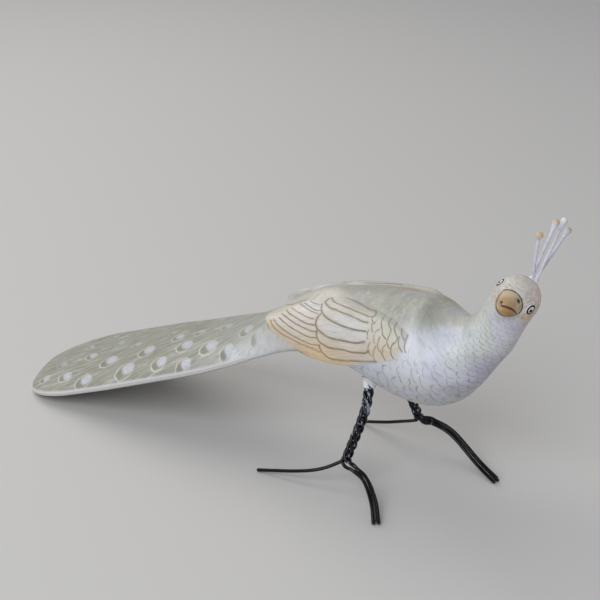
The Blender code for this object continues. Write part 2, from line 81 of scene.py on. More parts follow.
# Place along, height, sway, pitch in degrees, half width, height above and below the widest line,
# and how round the underside is (1 is an ellipse)
STATIONS = (
    (-178, 12.9, -3.4, 17, 35.9, 6.0, 3.4, 0.55),
    (-156, 21.5, -2.6, 20, 34.6, 7.0, 3.6, 0.55),
    (-138, 28.9, -2.5, 21, 32.9, 7.5, 3.8, 0.55),
    (-120, 36.0, -2.3, 22, 30.6, 8.0, 4.0, 0.60),
    (-104, 42.4, -1.6, 22, 29.2, 8.0, 4.4, 0.65),
    (-89, 48.4, -0.7, 22, 27.2, 8.5, 4.6, 0.70),
    (-75, 54.0, -0.2, 22, 23.2, 10.2, 4.6, 0.80),
    (-62, 59.8, 0, 21, 19.2, 12.6, 5.2, 0.90),
    (-47, 66.5, 0, 18, 16.8, 16.6, 6.4, 1.0),
    (-30, 72.5, 0, 11, 19.0, 22.2, 9.0, 1.0),
    (-16, 75.5, 0, 5, 22.0, 22.5, 12.2, 1.0),
    (-5, 76.8, 0, 3, 24.3, 23.3, 17.0, 1.0),
    (9, 77.5, 0, 3, 26.3, 23.9, 25.6, 1.0),
    (23, 78.0, 0, 10, 26.7, 24.1, 30.0, 1.0),
    (33, 79.4, 0, 22, 25.3, 24.3, 27.9, 1.0),
    (40, 81.4, 0, 34, 21.4, 21.8, 22.0, 1.0),
    (46, 84.6, 0, 44, 16.9, 15.4, 17.2, 1.0),
    (51, 88.8, 0, 50, 14.0, 11.0, 14.6, 1.0),
    (55.6, 94.0, 0, 54, 12.4, 10.6, 13.4, 1.0),
    (59.5, 99.6, 0, 57, 11.2, 10.6, 11.8, 1.0),
    (63, 105.6, 0, 58, 10.8, 10.7, 10.8, 1.0),
    (66.6, 113.0, 0, 58, 10.9, 10.9, 10.9, 1.0),
)
TAIL_CAP_LENGTH = 37.5
TAIL_CAP_DROP = 0.30
TAIL_CAP_SWAY = -0.17
TAIL_CAP_SWAY_POWER = 6
TAIL_CAP_FULLNESS = 0.83
TAIL_CAP_THINNING = 0.5
BODY_ROLL = 9.0
TIP_ROLL = 5.0
TAIL_ROOT = -60.0


def through(rows, places):
    """Rows read at the given places, counted in rows, from a smooth curve through every given row."""
    rows = np.array(rows, float)
    places = np.asarray(places, float)
    ends = np.vstack([2 * rows[0] - rows[1], rows, 2 * rows[-1] - rows[-2]])
    start = np.clip(places.astype(int), 0, len(rows) - 2)
    t = (places - start)[:, None]
    a, b, c, d = (ends[start + k] for k in range(4))
    bend = (2 * a - 5 * b + 4 * c - d) * t**2 + (3 * b - a - 3 * c + d) * t**3
    return b + 0.5 * ((c - a) * t + bend)


def evenly(rows, count):
    """The given number of evenly counted places on the curve through the rows."""
    return through(rows, np.linspace(0, len(rows) - 1, count))


def lengths_along(points):
    """How far along its path each point lies."""
    return np.append(0, np.linalg.norm(np.diff(points, axis=0), axis=1).cumsum())


def full_turn(count):
    return np.linspace(0, 2 * math.pi, count, endpoint=False)


def rising(values, start, over):
    """0 up to the start and 1 once past it by the length given."""
    return np.clip((values - start) / over, 0, 1)


def falling(values, start, over):
    """0 from the start up and 1 once below it by the length given."""
    return np.clip((start - values) / over, 0, 1)


def roll_at(place):
    """The lean of the clay in radians, easing out along the tail."""
    tip = STATIONS[0][0] - TAIL_CAP_LENGTH
    share = np.clip((np.asarray(place) - tip) / (TAIL_ROOT - tip), 0, 1)
    return np.radians(TIP_ROLL + (BODY_ROLL - TIP_ROLL) * share)


def leaned(points, roll):
    """Points (..., 3) turned about the spine by the lean."""
    x, y, z = np.moveaxis(points, -1, 0)
    cosine, sine = np.cos(roll), np.sin(roll)
    return np.stack([x + 0 * y, y * cosine - z * sine, y * sine + z * cosine], axis=-1)


print("Body stations:", len(STATIONS))

# %% [markdown]
# The skin's rings
#
# Each ring has a round top half and a flatter lower half, and both halves are cut into equal
# lengths. Equal lengths keep the small faces square, also on the thin tail, so the paint below
# stays crisp everywhere.

# %% Rings round the spine
TOP_STEPS = 100
UNDER_STEPS = 76
BODY_RINGS = 330
TAIL_CAP_RINGS = 46
HEAD_CAP_RINGS = 34
FINE_STEPS = 400


def half_ring(half_width, height, power, count, under):
    """Evenly spaced points of one half of a section, as side, lift and girth angle."""
    angle = np.linspace(0, math.pi, FINE_STEPS)
    across, rise = np.cos(angle), np.sin(angle)
    side = half_width * np.sign(across) * np.abs(across) ** power
    lift = height * rise**power
    if under:
        side, lift, angle = -side, -lift, angle + math.pi
    travelled = np.concatenate([[0], np.hypot(np.diff(side), np.diff(lift)).cumsum()])
    marks = np.linspace(0, travelled[-1], count, endpoint=False)
    return [np.interp(marks, travelled, values) for values in (side, lift, angle)]


def ring(row):
    """One section of the clay: its points and each point's girth angle."""
    place, height, sway, pitch, half_width, up, down, round_under = row
    top = half_ring(half_width, up, 1.0, TOP_STEPS, False)
    low = half_ring(half_width, down, round_under, UNDER_STEPS, True)
    side, lift, angle = (np.concatenate(pair) for pair in zip(top, low))
    pitch = math.radians(pitch)
    local = np.stack([-math.sin(pitch) * lift, side, math.cos(pitch) * lift], axis=-1)
    return np.array([place, sway, height]) + leaned(local, roll_at(place)), angle


def tail_cap_rows():
    """Sections from the tail's rounded end to its first full one."""
    place, height, sway, pitch, half_width, up, down, round_under = STATIONS[0]
    rows = []
    for angle in np.linspace(0.5 * math.pi, 0, TAIL_CAP_RINGS + 2)[1:-1]:
        reach = TAIL_CAP_LENGTH * math.sin(angle) ** TAIL_CAP_FULLNESS
        width = half_width * math.cos(angle) ** TAIL_CAP_FULLNESS
        thin = 1 - TAIL_CAP_THINNING * (1 - math.cos(angle))
        aside = TAIL_CAP_SWAY * reach * (1 - (reach / TAIL_CAP_LENGTH) ** TAIL_CAP_SWAY_POWER)
        centre = (place - reach, height - TAIL_CAP_DROP * reach, sway + aside)
        rows.append((*centre, pitch, width, up * thin, down * thin, round_under))
    return rows


def head_cap_rows():
    """Sections over the crown, which is half a ball."""
    place, height, sway, pitch, radius = STATIONS[-1][:5]
    lean = math.radians(pitch)
    rows = []
    for angle in np.linspace(0, 0.5 * math.pi, HEAD_CAP_RINGS + 2)[1:-1]:
        reach = radius * math.sin(angle)
        small = radius * math.cos(angle)
        centre = (place + math.cos(lean) * reach, height + math.sin(lean) * reach, sway)
        rows.append((*centre, pitch, small, small, small, 1.0))
    return rows


rows = np.vstack([tail_cap_rows(), evenly(STATIONS, BODY_RINGS), head_cap_rows()])
print("Rings along the spine:", len(rows))

# %% [markdown]
# Meshes from grids
#
# A skin of rings is a grid of points. One helper turns any grid into a closed mesh with outward
# faces. It stores what the paint needs in two ways: values at the points, such as a colour, and UV
# maps at the corners of the faces, which let a pattern that runs round the bird close without a
# seam.

# %% Grid to mesh
# A distance that counts as far from every painted mark
FAR_OFF = 9.0


def outward(points, faces):
    """Whether the closed faces point out of the shape, told by the sign of its volume."""
    a, b, c = (points[faces[:, k]] for k in range(3))
    return np.einsum("ij,ij->i", a, np.cross(b, c)).sum() > 0


def keep_values(mesh, values_by_name):
    """Point attributes of one or three numbers each."""
    for key, values in values_by_name.items():
        values = np.asarray(values, np.float32)
        kind = "FLOAT" if values.ndim == 1 else "FLOAT_VECTOR"
        stored = mesh.attributes.new(key, kind, "POINT")
        stored.data.foreach_set("value" if kind == "FLOAT" else "vector", values.ravel())


def linked(name, data):
    """A new object in the scene."""
    made = bpy.data.objects.new(name, data)
    bpy.context.scene.collection.objects.link(made)
    return made


def grid_quads(ring_count, around):
    """The rows and the columns of the corners of a grid's four-sided faces."""
    row, column = (part.ravel() for part in np.indices((ring_count - 1, around)))
    corner_rows = np.stack([row, row, row + 1, row + 1], axis=1)
    return corner_rows, np.stack([column, column + 1, column + 1, column], axis=1)


def grid_mesh(name, points, poles, values=None, maps=None):
    """A closed mesh from rings of points (rings, around, 3) and a pole at each end."""
    ring_count, around = points.shape[:2]
    vertices = np.vstack([points.reshape(-1, 3), poles])
    corner_rows, corner_columns = grid_quads(ring_count, around)
    quads = corner_rows * around + corner_columns % around
    first, last = len(vertices) - 2, len(vertices) - 1
    ends = np.arange(around)
    first_cap = np.stack([ends, np.full(around, first), (ends + 1) % around], axis=1)
    last_row = (ring_count - 1) * around
    last_cap = np.stack([last_row + ends, last_row + (ends + 1) % around, np.full(around, last)], axis=1)
    flip = not outward(vertices, np.vstack([quads[:, :3], quads[:, [0, 2, 3]], first_cap, last_cap]))
    turn = slice(None, None, -1) if flip else slice(None)
    mesh = bpy.data.meshes.new(name)
    polygons = [part[:, turn].tolist() for part in (quads, first_cap, last_cap)]
    mesh.from_pydata(vertices, [], polygons[0] + polygons[1] + polygons[2])
    keep_values(mesh, values or {})
    for key, grid in (maps or {}).items():
        inner = grid[corner_rows, corner_columns][:, turn].reshape(-1, 2)
        middles = 0.5 * (grid[:, :-1] + grid[:, 1:])
        first_corners = np.stack([grid[0, :-1], middles[0], grid[0, 1:]], axis=1)
        last_corners = np.stack([grid[-1, :-1], grid[-1, 1:], middles[-1]], axis=1)
        corners = [inner, first_corners[:, turn].reshape(-1, 2), last_corners[:, turn].reshape(-1, 2)]
        layer = mesh.uv_layers.new(name=key)
        layer.data.foreach_set("uv", np.vstack(corners).astype(np.float32).ravel())
    mesh.shade_smooth()
    print(name, "has", len(mesh.polygons), "faces")
    return linked(name, mesh)


def with_poles(values, first, last):
    """A grid's values as one list, with those of its two poles."""
    values = np.asarray(values, float)
    return np.concatenate([values.reshape(-1, *values.shape[2:]), [first], [last]])


def end_middles(grid):
    """The middles of a grid's first and last rings, which serve as its poles."""
    return np.array([grid[0].mean(axis=0), grid[-1].mean(axis=0)])


# %% The body's skin
body_points, body_angles = (np.array(part) for part in zip(*map(ring, rows)))
spine_travelled = lengths_along(rows[:, [0, 2, 1]])
tail_place, tail_height = STATIONS[0][:2]
tail_pole = (tail_place - TAIL_CAP_LENGTH, rows[0][2], tail_height - TAIL_CAP_DROP * TAIL_CAP_LENGTH)
head_along, head_height, head_sway, head_pitch, HEAD_RADIUS = STATIONS[-1][:5]
HEAD_MIDDLE = np.array([head_along, head_sway, head_height], float)
neck_pitch = math.radians(head_pitch)
crown_pole = HEAD_MIDDLE + HEAD_RADIUS * np.array([math.cos(neck_pitch), 0, math.sin(neck_pitch)])
print("Length along the spine:", round(spine_travelled[-1]), "mm")

# %% [markdown]
# Wings
#
# Each wing is a slab of clay laid on the flank and smoothed into the shoulder. Its rear end and
# lower edge stand off as a ledge. It is drawn by stations too, each an arc round the flank with a
# thickness.

# %% The wing stations
# Place along, height of the middle, half width, rise, thickness, and the girth angles of the upper
# and the lower edge in degrees
WING_STATIONS = (
    (29.5, 78.5, 22.6, 20.6, 3.0, 42, 26),
    (22, 78.0, 26.9, 24.1, 4.5, 54, 16.5),
    (12, 77.6, 27.4, 24.4, 5.5, 65, 6),
    (-2, 76.9, 26.4, 23.8, 6.5, 76, -3.4),
    (-16, 76.0, 24.4, 22.8, 7.5, 83, -12),
    (-28, 75.2, 22.2, 20.8, 8.0, 86, -18.5),
    (-38, 74.8, 19.6, 17.6, 8.0, 82, -27),
    (-47, 74.6, 17.6, 14.0, 7.0, 74, -29),
    (-55, 74.8, 15.4, 9.6, 4.5, 58, -22),
    (-60.5, 75.2, 12.6, 5.4, 3.0, 40, 6),
)
WING_FULLNESS = 0.82
WING_EDGE_THICKNESS = 0.35
WING_EDGE_POWER = 0.5
WING_EDGE_SOFTENING = 0.15
WING_END_SOFTENING = 0.3
WING_RINGS = 240
WING_OUTER_STEPS = 130
WING_INNER_STEPS = 24
WING_END_ROUNDING = 0.55
WING_END_RINGS = 28


def wing_grid(side):
    """Rings round the slab, with each point's station place, share up the wing and whether it faces in."""
    last = len(WING_STATIONS) - 1
    straight = np.linspace(0, last - WING_END_ROUNDING, WING_RINGS - WING_END_RINGS, endpoint=False)
    turn = np.linspace(0.5 * math.pi, 0, WING_END_RINGS, endpoint=False)
    places = np.concatenate([straight, last - WING_END_ROUNDING * (1 - np.cos(turn))])
    outer = 0.5 - 0.5 * np.cos(np.linspace(0, math.pi, WING_OUTER_STEPS))
    inner = 0.5 + 0.5 * np.cos(np.linspace(0, math.pi, WING_INNER_STEPS + 2)[1:-1])
    share = np.concatenate([outer, inner])
    inside = np.concatenate([np.zeros(len(outer)), np.ones(len(inner))])
    edge = np.sin(math.pi * share) ** WING_EDGE_POWER
    grid, stations = [], []
    for place, row in zip(places, through(WING_STATIONS, places)):
        along, height, half_width, rise, thick, upper, lower = row
        close = min((last - place) / WING_END_ROUNDING, 1.0)
        narrow = math.sqrt(1 - (1 - close) ** 2)
        angle = np.radians(0.5 * (upper + lower) + (share - 0.5) * (upper - lower) * narrow)
        across = np.cos(angle) ** WING_FULLNESS
        lift = np.sign(angle) * np.abs(np.sin(angle)) ** WING_FULLNESS
        base = np.stack([0 * angle, side * half_width * across, rise * lift], axis=-1)
        out = np.stack([0 * angle, side * np.cos(angle), np.sin(angle)], axis=-1)
        rim = WING_EDGE_SOFTENING + (1 - narrow) * WING_END_SOFTENING
        outer_depth = (1 - edge * narrow) * rim * thick
        inner_depth = thick * (WING_EDGE_THICKNESS + (1 - WING_EDGE_THICKNESS) * edge * narrow)
        depth = outer_depth * (1 - inside) + inner_depth * inside
        grid.append(np.array([along, 0, height]) + leaned(base - out * depth[:, None], roll_at(along)))
        stations.append(np.full(len(share), along))
    share, inside = (np.tile(values, (WING_RINGS, 1)) for values in (share, inside))
    return np.array(grid), np.array(stations), share, inside


print("Wing stations:", len(WING_STATIONS))

# %% [markdown]
# Head, beak and eyes
#
# The head is turned to the bird's right and tipped, so everything on it is placed by its own three
# axes: forward, left and up. The beak is a short loft along the forward axis.

# %% The head's axes
HEAD_TURN = -86.0
HEAD_LIFT = 10.0
HEAD_TILT = 33.5

head_pose = Matrix.Rotation(math.radians(HEAD_TURN), 3, "Z")
head_pose = head_pose @ Matrix.Rotation(math.radians(-HEAD_LIFT), 3, "Y")
head_pose = head_pose @ Matrix.Rotation(math.radians(-HEAD_TILT), 3, "X")
forward, left, up = (np.array(column) for column in head_pose.col)
print("The beak points along", forward.round(2))

# %% The beak's loft
# Reach from the head's middle, half width, half height and rise of the middle
BEAK_STATIONS = (
    (0.0, 6.3, 5.8, 0.0),
    (6.0, 6.3, 5.8, 0.0),
    (9.0, 6.1, 5.6, -0.1),
    (12.2, 5.5, 5.1, -0.4),
    (14.8, 4.2, 3.9, -1.0),
    (16.8, 2.5, 2.3, -1.7),
    (17.9, 0.05, 0.05, -2.3),
)
BEAK_ASIDE = -0.4
# The station at which the loft starts, just inside the head
BEAK_START = 0.4
BEAK_RINGS = 90
BEAK_AROUND = 96


def beak_grid():
    places = np.linspace(BEAK_START, len(BEAK_STATIONS) - 1, BEAK_RINGS)
    angle = full_turn(BEAK_AROUND)
    rings = []
    for reach, width, height, rise in through(BEAK_STATIONS, places):
        side = width * np.cos(angle) + BEAK_ASIDE
        lift = height * np.sin(angle) + rise
        rings.append(HEAD_MIDDLE + forward * reach + np.outer(side, left) + np.outer(lift, up))
    return np.array(rings)


# %% The eyes' domes
# Each eye's turn and lift from straight ahead and the lean of its oval, in degrees
EYE_PLACES = {1: (54.0, 19.0, 23.0), -1: (68.0, 12.0, 0.0)}
EYE_RADIUS = 2.3
EYE_HEIGHT_RATIO = 1.2
EYE_SINK = 0.6
EYE_BULGE = 0.5


def eye_axes(side):
    """The eye's own axes: towards the beak, up along the head, and out of it."""
    turn, lift, lean = (math.radians(angle) for angle in EYE_PLACES[side])
    outward = Matrix.Rotation(side * turn, 3, Vector(up)) @ Vector(forward)
    hinge = outward.cross(Vector(up))
    outward = Matrix.Rotation(lift, 3, hinge) @ outward
    hinge = Matrix.Rotation(-lean, 3, outward) @ hinge
    high = hinge.cross(outward)
    return np.array(hinge), np.array(high), np.array(outward)


for side in (1, -1):
    print("An eye looks along", eye_axes(side)[2].round(2))

# %% [markdown]
# Twisted wire legs
#
# Each leg is four wires twisted into a shank. At the ankle three of them run forward as a bundle of
# toes and one runs back. The paths are worked out here as lines of points, and a node tree then
# turns every line into a round, slightly dented wire, because the same step repeats for all twelve
# wires of the bird.

# %% The leg's points
LEG_WIRE = 1.8
TWIST_PITCH = 19.0
STRAND_GAP = 0.3
LEG_SOCKET_DEPTH = 9.0
SOCKET_FLOOR_GAP = 0.4
TOE_SPLAY = 1.25
TOE_BLEND = 9.0
TOE_SWELL = 1.2
STRANDS = ("above", "left", "back", "right")
FINE_POINTS_PER_TURN = 32
FINE_TOE_STEP = 1.2
TOE_CROWDING = 1.4
# How many points above the ankle give the back toe its first direction
HEEL_LEAD = 4

# Hip on the clay, the shank's bow, the ankle, and each toe's points down to its tip
LEGS = {
    "right": {
        "hip": (0.0, -11.5, 57.0),
        "bow": (0.4, -17.5, 41.5),
        "ankle": (-5.0, -24.9, 17.5),
        "back_toe": ((-15.4, -29.2, 10.5), (-28.0, -33.0, 6.5), (-51.3, -36.2, 0.0)),
        "front_toes": ((0.6, -27.0, 14.5), (8.4, -29.4, 12.0), (16.4, -36.2, 6.5), (23.2, -46.0, 0.0)),
    },
    "left": {
        "hip": (2.6, 11.5, 59.0),
        "bow": (7.6, 16.5, 40.0),
        "ankle": (12.2, 22.0, 21.5),
        "back_toe": ((-0.9, 26.2, 13.0), (-11.4, 29.5, 7.5), (-27.8, 33.0, 0.0)),
        "front_toes": ((17.7, 26.9, 18.5), (29.0, 28.2, 14.0), (46.6, 22.6, 5.0), (59.0, 17.1, 0.0)),
    },
}
print("Legs:", list(LEGS))


# %% Paths
SMOOTH_STEPS = 24


def smooth(points, skip=0):
    """A smooth path through the points, leaving out its first spans."""
    spans = len(points) - 1
    return through(points, np.linspace(skip, spans, SMOOTH_STEPS * (spans - skip) + 1))


def spaced(points, gap, crowding=1.0):
    """The same path with its points evenly spaced, or crowded towards its start."""
    travelled = lengths_along(points)
    count = max(round(travelled[-1] / gap), 2) + 1
    marks = travelled[-1] * np.linspace(0, 1, count) ** crowding
    return np.stack([np.interp(marks, travelled, points[:, k]) for k in range(3)], axis=1)


def unit(vector):
    return np.array(vector, float) / np.linalg.norm(vector)


def across(direction, tangent):
    return unit(np.array(direction) - tangent * np.dot(tangent, direction))


def path_frames(path, ankle):
    """Two axes across a path: level ones below the ankle, and ones carried up from it without twist."""
    steps = np.diff(path, axis=0)
    steps /= np.linalg.norm(steps, axis=1)[:, None]
    tangents = np.vstack([steps[:1], steps[:-1] + steps[1:], steps[-1:]])
    tangents /= np.linalg.norm(tangents, axis=1)[:, None]
    normals = np.empty_like(path)
    for k in range(ankle, len(path)):
        normals[k] = across((0.0, 0.0, 1.0), tangents[k])
    for k in range(ankle - 1, -1, -1):
        normals[k] = across(normals[k + 1], tangents[k])
    return normals, np.cross(tangents, normals)


def leg_strands(side):
    """The middle lines of a leg's four wires, from the socket down to the toe tips."""
    leg = {key: np.array(value, float) for key, value in LEGS[side].items()}
    upward = unit(leg["hip"] - leg["bow"])
    top = leg["hip"] + upward * (LEG_SOCKET_DEPTH - SOCKET_FLOOR_GAP)
    spacing = LEG_WIRE + STRAND_GAP
    above, below = spacing / math.sqrt(3), -spacing / math.sqrt(12)
    bundle = {"above": (above, 0.0), "left": (below, spacing / 2), "right": (below, -spacing / 2)}
    front = [*leg["front_toes"][:-1], leg["front_toes"][-1] + (0, 0, LEG_WIRE / 2 - TOE_SPLAY * below)]
    back = [*leg["back_toe"][:-1], leg["back_toe"][-1] + (0, 0, LEG_WIRE / 2)]
    shank = spaced(smooth([top, leg["hip"], leg["bow"], leg["ankle"]]), TWIST_PITCH / FINE_POINTS_PER_TURN)
    toe = spaced(smooth([leg["bow"], leg["ankle"], *front], skip=1), FINE_TOE_STEP, TOE_CROWDING)
    path = np.vstack([shank, toe[1:]])
    ankle = len(shank) - 1
    normals, sides = path_frames(path, ankle)
    travelled = lengths_along(path)
    travelled = np.maximum(travelled - travelled[ankle], 0)
    share = np.minimum(travelled / TOE_BLEND, 1.0)
    splay = 1 + (TOE_SPLAY - 1) * travelled / travelled[-1]
    swell = 1 + TOE_SWELL * share * (1 - share)
    turns = np.maximum(ankle - np.arange(len(path)), 0) / FINE_POINTS_PER_TURN
    upright = (LEG_WIRE + STRAND_GAP) / math.sqrt(2)
    radius = upright / math.sqrt(1 - (2 * math.pi * upright / TWIST_PITCH) ** 2)
    lines = []
    for number, strand in enumerate(STRANDS):
        angle = 2 * math.pi * (number / len(STRANDS) + turns)
        twist = radius * np.stack([np.cos(angle), np.sin(angle)], axis=1)
        end = np.array(bundle.get(strand, (0.0, 0.0)))
        offset = swell[:, None] * ((1 - share[:, None]) * twist + (share * splay)[:, None] * end)
        line = path + offset[:, :1] * normals + offset[:, 1:] * sides
        if strand == "back":
            heel = smooth([line[ankle - HEEL_LEAD], line[ankle], *back], skip=1)
            line = np.vstack([line[: ankle + 1], spaced(heel, FINE_TOE_STEP, TOE_CROWDING)[1:]])
        lines.append(line)
    return lines


wire_lines = {}
for side in LEGS:
    for number, line in enumerate(leg_strands(side)):
        wire_lines[f"leg_{side}_wire_{number + 1}"] = line
print("Leg wires:", len(wire_lines))

# %% [markdown]
# The crest
#
# Four thin wires fan out of one small hole in the crown. The first carries a round bead and the
# others end in drops, like buds. Their feet stand in a ring, so that they just fit the hole.

# %% The crest's lines
PLUME_WIRE = 1.4
CREST_SOCKET_DEPTH = 5.0
BEAD_BORE_REACH = 0.5
BEAD_CLEARANCE = 0.3
CREST_FOOT = (0.434, 0.626, 0.643)
PLUME_STEP = 0.8
# Each plume's tip from the foot of the crest, and its kind of bead
PLUMES = (
    ((2.0, -3.4, 23.8), "ball"),
    ((4.3, 10.7, 25.6), "drop"),
    ((5.9, 17.4, 24.3), "drop"),
    ((6.0, 24.0, 17.4), "drop"),
)

crest_root = HEAD_MIDDLE + unit(CREST_FOOT) * HEAD_RADIUS
crest_direction = unit(sum(np.array(tip) for tip, kind in PLUMES))
crest_fan = across(np.array(PLUMES[-1][0]) - np.array(PLUMES[0][0]), crest_direction)
crest_cross = np.cross(crest_direction, crest_fan)
crest_ring = (PLUME_WIRE + STRAND_GAP) / math.sqrt(2)
crest_start = crest_root - crest_direction * (CREST_SOCKET_DEPTH - SOCKET_FLOOR_GAP)
feet = [way * crest_ring for way in (-crest_fan, crest_cross, -crest_cross, crest_fan)]
bead_places = []
for number, (foot, (tip, kind)) in enumerate(zip(feet, PLUMES)):
    mouth = crest_root + foot
    end = crest_root + np.array(tip)
    reach = unit(end - mouth)
    last = end + reach * (BEAD_BORE_REACH - BEAD_CLEARANCE)
    knee = mouth + crest_direction * PLUME_WIRE
    corners = np.array([crest_start + foot, mouth, knee, 0.5 * (mouth + end), last])
    wire_lines[f"crest_plume_{number + 1}"] = spaced(smooth(corners), PLUME_STEP)
    bead_places.append((end, reach, kind))
print("Plumes:", len(bead_places))

# %% [markdown]
# Where the drawing lies in the frame
#
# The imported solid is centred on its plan, so the drawing has to be moved by the same amount. The
# wires tell how far: the middle of each wire's box is compared with the middle of its line.

# %% The drawing's origin
def box_middle(low, high):
    return (np.array(low) + np.array(high)) / 2


gaps = []
for name, line in wire_lines.items():
    gaps.append(box_middle(*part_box(name)) - MM * box_middle(line.min(axis=0), line.max(axis=0)))
ORIGIN = np.array([*np.mean(gaps, axis=0)[:2], 0.0])
spread = np.std(gaps, axis=0)
print("The drawing's origin lies at", (ORIGIN / MM).round(2), "mm, spread", (spread / MM).round(2))


def placed(points):
    """Points of the drawing, in the frame's metres."""
    return np.asarray(points) * MM + ORIGIN


def painted_piece(name, grid, poles, finish, values=None, maps=None):
    """A closed piece in its place in the frame, with its finish."""
    piece = grid_mesh(name, placed(grid), placed(poles), values, maps)
    piece.data.materials.append(finish)
    return piece


# %% [markdown]
# Paint formulas
#
# The bird's feathers, scales and eye spots are brushwork that follows the clay, so they are worked
# out by formulas in the shader. A shader formula is a chain of Math nodes, which is long to write
# by hand. This small class lets Python's own signs add those nodes, so that a pattern reads like
# the sum it is.

# %% Values of a shader tree
def join(tree, value, socket):
    """Gives a socket another socket's value, or a plain one."""
    value = getattr(value, "socket", value)
    if isinstance(value, bpy.types.NodeSocket):
        tree.links.new(value, socket)
    else:
        socket.default_value = value


class Value:
    """A number in a shader tree that Python's signs can work on."""

    def __init__(self, tree, socket):
        self.tree = tree
        self.socket = socket

    def then(self, operation, *others, clamp=False):
        made = self.tree.nodes.new("ShaderNodeMath")
        made.operation = operation
        made.use_clamp = clamp
        for value, socket in zip((self, *others), made.inputs):
            join(self.tree, value, socket)
        return Value(self.tree, made.outputs[0])

    def __add__(self, other):
        return self.then("ADD", other)

    def __sub__(self, other):
        return self.then("SUBTRACT", other)

    def __mul__(self, other):
        return self.then("MULTIPLY", other)

    def __truediv__(self, other):
        return self.then("DIVIDE", other)

    def __abs__(self):
        return self.then("ABSOLUTE")

    def opposite(self):
        """One less the value."""
        return self.then("MULTIPLY_ADD", -1.0, 1.0)

    def band(self, low, high):
        """A soft step: 0 up to the low value and 1 from the high one."""
        made = self.tree.nodes.new("ShaderNodeMapRange")
        made.interpolation_type = "SMOOTHSTEP"
        for key, value in (("Value", self), ("From Min", low), ("From Max", high)):
            join(self.tree, value, made.inputs[key])
        return Value(self.tree, made.outputs["Result"])

    def fade(self, low, high):
        """A soft step down: 1 up to the low value and 0 from the high one."""
        return self.band(low, high).opposite()


def length(*parts):
    """The length of a vector given by its parts."""
    total = parts[0] * parts[0]
    for part in parts[1:]:
        total = total + part * part
    return total.then("SQRT")


# %% Reading the mesh
def split(tree, socket):
    made = tree.nodes.new("ShaderNodeSeparateXYZ")
    tree.links.new(socket, made.inputs[0])
    return [Value(tree, output) for output in made.outputs]


def combined(tree, *parts):
    made = tree.nodes.new("ShaderNodeCombineXYZ")
    for part, socket in zip(parts, made.inputs):
        join(tree, part, socket)
    return made.outputs[0]


def kept(tree, key):
    """The node that reads a value kept at the mesh's points."""
    made = tree.nodes.new("ShaderNodeAttribute")
    made.attribute_name = key
    return made


def kept_number(tree, key):
    return Value(tree, kept(tree, key).outputs["Fac"])


def kept_parts(tree, key):
    return split(tree, kept(tree, key).outputs["Vector"])


def map_parts(tree, key):
    """The two coordinates of one of the piece's UV maps."""
    made = tree.nodes.new("ShaderNodeUVMap")
    made.uv_map = key
    return split(tree, made.outputs["UV"])[:2]


def own_place(tree):
    """The piece's own coordinates, in metres."""
    return tree.nodes.new("ShaderNodeTexCoord").outputs["Object"]


def noise(tree, vector, scale, detail=2.0, roughness=0.5):
    made = tree.nodes.new("ShaderNodeTexNoise")
    made.inputs["Scale"].default_value = scale
    made.inputs["Detail"].default_value = detail
    made.inputs["Roughness"].default_value = roughness
    tree.links.new(vector, made.inputs["Vector"])
    return Value(tree, made.outputs["Fac"])


def speckled(tree, fineness):
    """A busy noise on the piece's own coordinates, for rubbed and dabbed paint."""
    return noise(tree, own_place(tree), fineness, 3.0, 0.6)


def stretched(tree, along, aside, shift, fine_along, fine_across, detail, roughness):
    """A noise drawn out along one direction."""
    place = combined(tree, along * fine_along, aside * fine_across, shift)
    return noise(tree, place, 1.0, detail, roughness)


def ragged(tree, fineness, amount):
    """A small waver about 0 that roughens a painted edge."""
    return noise(tree, own_place(tree), fineness) * amount - amount / 2


def chance(tree, vector):
    """A fixed random number for each whole vector."""
    made = tree.nodes.new("ShaderNodeTexWhiteNoise")
    tree.links.new(vector, made.inputs["Vector"])
    return Value(tree, made.outputs["Value"])


# %% Mixing paint
COAT_ROUGHNESS = 0.3


def paint(red, green, blue):
    """A paint as it shows on a screen, from 0 to 255, in the linear numbers that Blender mixes."""
    share = np.array([red, green, blue]) / 255
    return np.where(share <= 0.04045, share / 12.92, ((share + 0.055) / 1.055) ** 2.4)


def mixed(tree, share, first, second, how="MIX"):
    """Two colours mixed by a share of the second."""
    made = tree.nodes.new("ShaderNodeMix")
    made.data_type = "RGBA"
    made.blend_type = how
    join(tree, share, made.inputs[0])
    for value, socket in ((first, made.inputs[6]), (second, made.inputs[7])):
        if isinstance(value, np.ndarray):
            value = (*value, 1.0)
        join(tree, value, socket)
    return made.outputs[2]


def brushed(tree, colour, patterns, layers, share=1.0):
    """The colour with layers of paint over it, each on the high or the low part of a pattern."""
    for key, part, start, end, strength, tone in layers:
        where = patterns[key].band(start, end) if part == "high" else patterns[key].fade(start, end)
        colour = mixed(tree, where * share * strength, colour, tone)
    return colour


def darkened(tree, colour, by):
    """A colour made darker by a share."""
    grey = combined(tree, *[by.opposite()] * 3)
    return mixed(tree, 1.0, colour, grey, "MULTIPLY")


def fresh_finish(name, roughness, coat=0.0):
    """A new material, its tree and its shader, with the values that are the same all over."""
    material = bpy.data.materials.new(name)
    material.use_nodes = True
    shader = material.node_tree.nodes["Principled BSDF"]
    shader.inputs["Roughness"].default_value = roughness
    shader.inputs["Coat Weight"].default_value = coat
    shader.inputs["Coat Roughness"].default_value = COAT_ROUGHNESS
    return material, material.node_tree, shader


def raised(tree, shader, height, distance):
    """Bump from a height between 0 and 1, in metres."""
    bump = tree.nodes.new("ShaderNodeBump")
    bump.inputs["Distance"].default_value = distance
    bump.inputs["Strength"].default_value = 1.0
    join(tree, height, bump.inputs["Height"])
    tree.links.new(bump.outputs["Normal"], shader.inputs["Normal"])


print("Paint tools are ready")

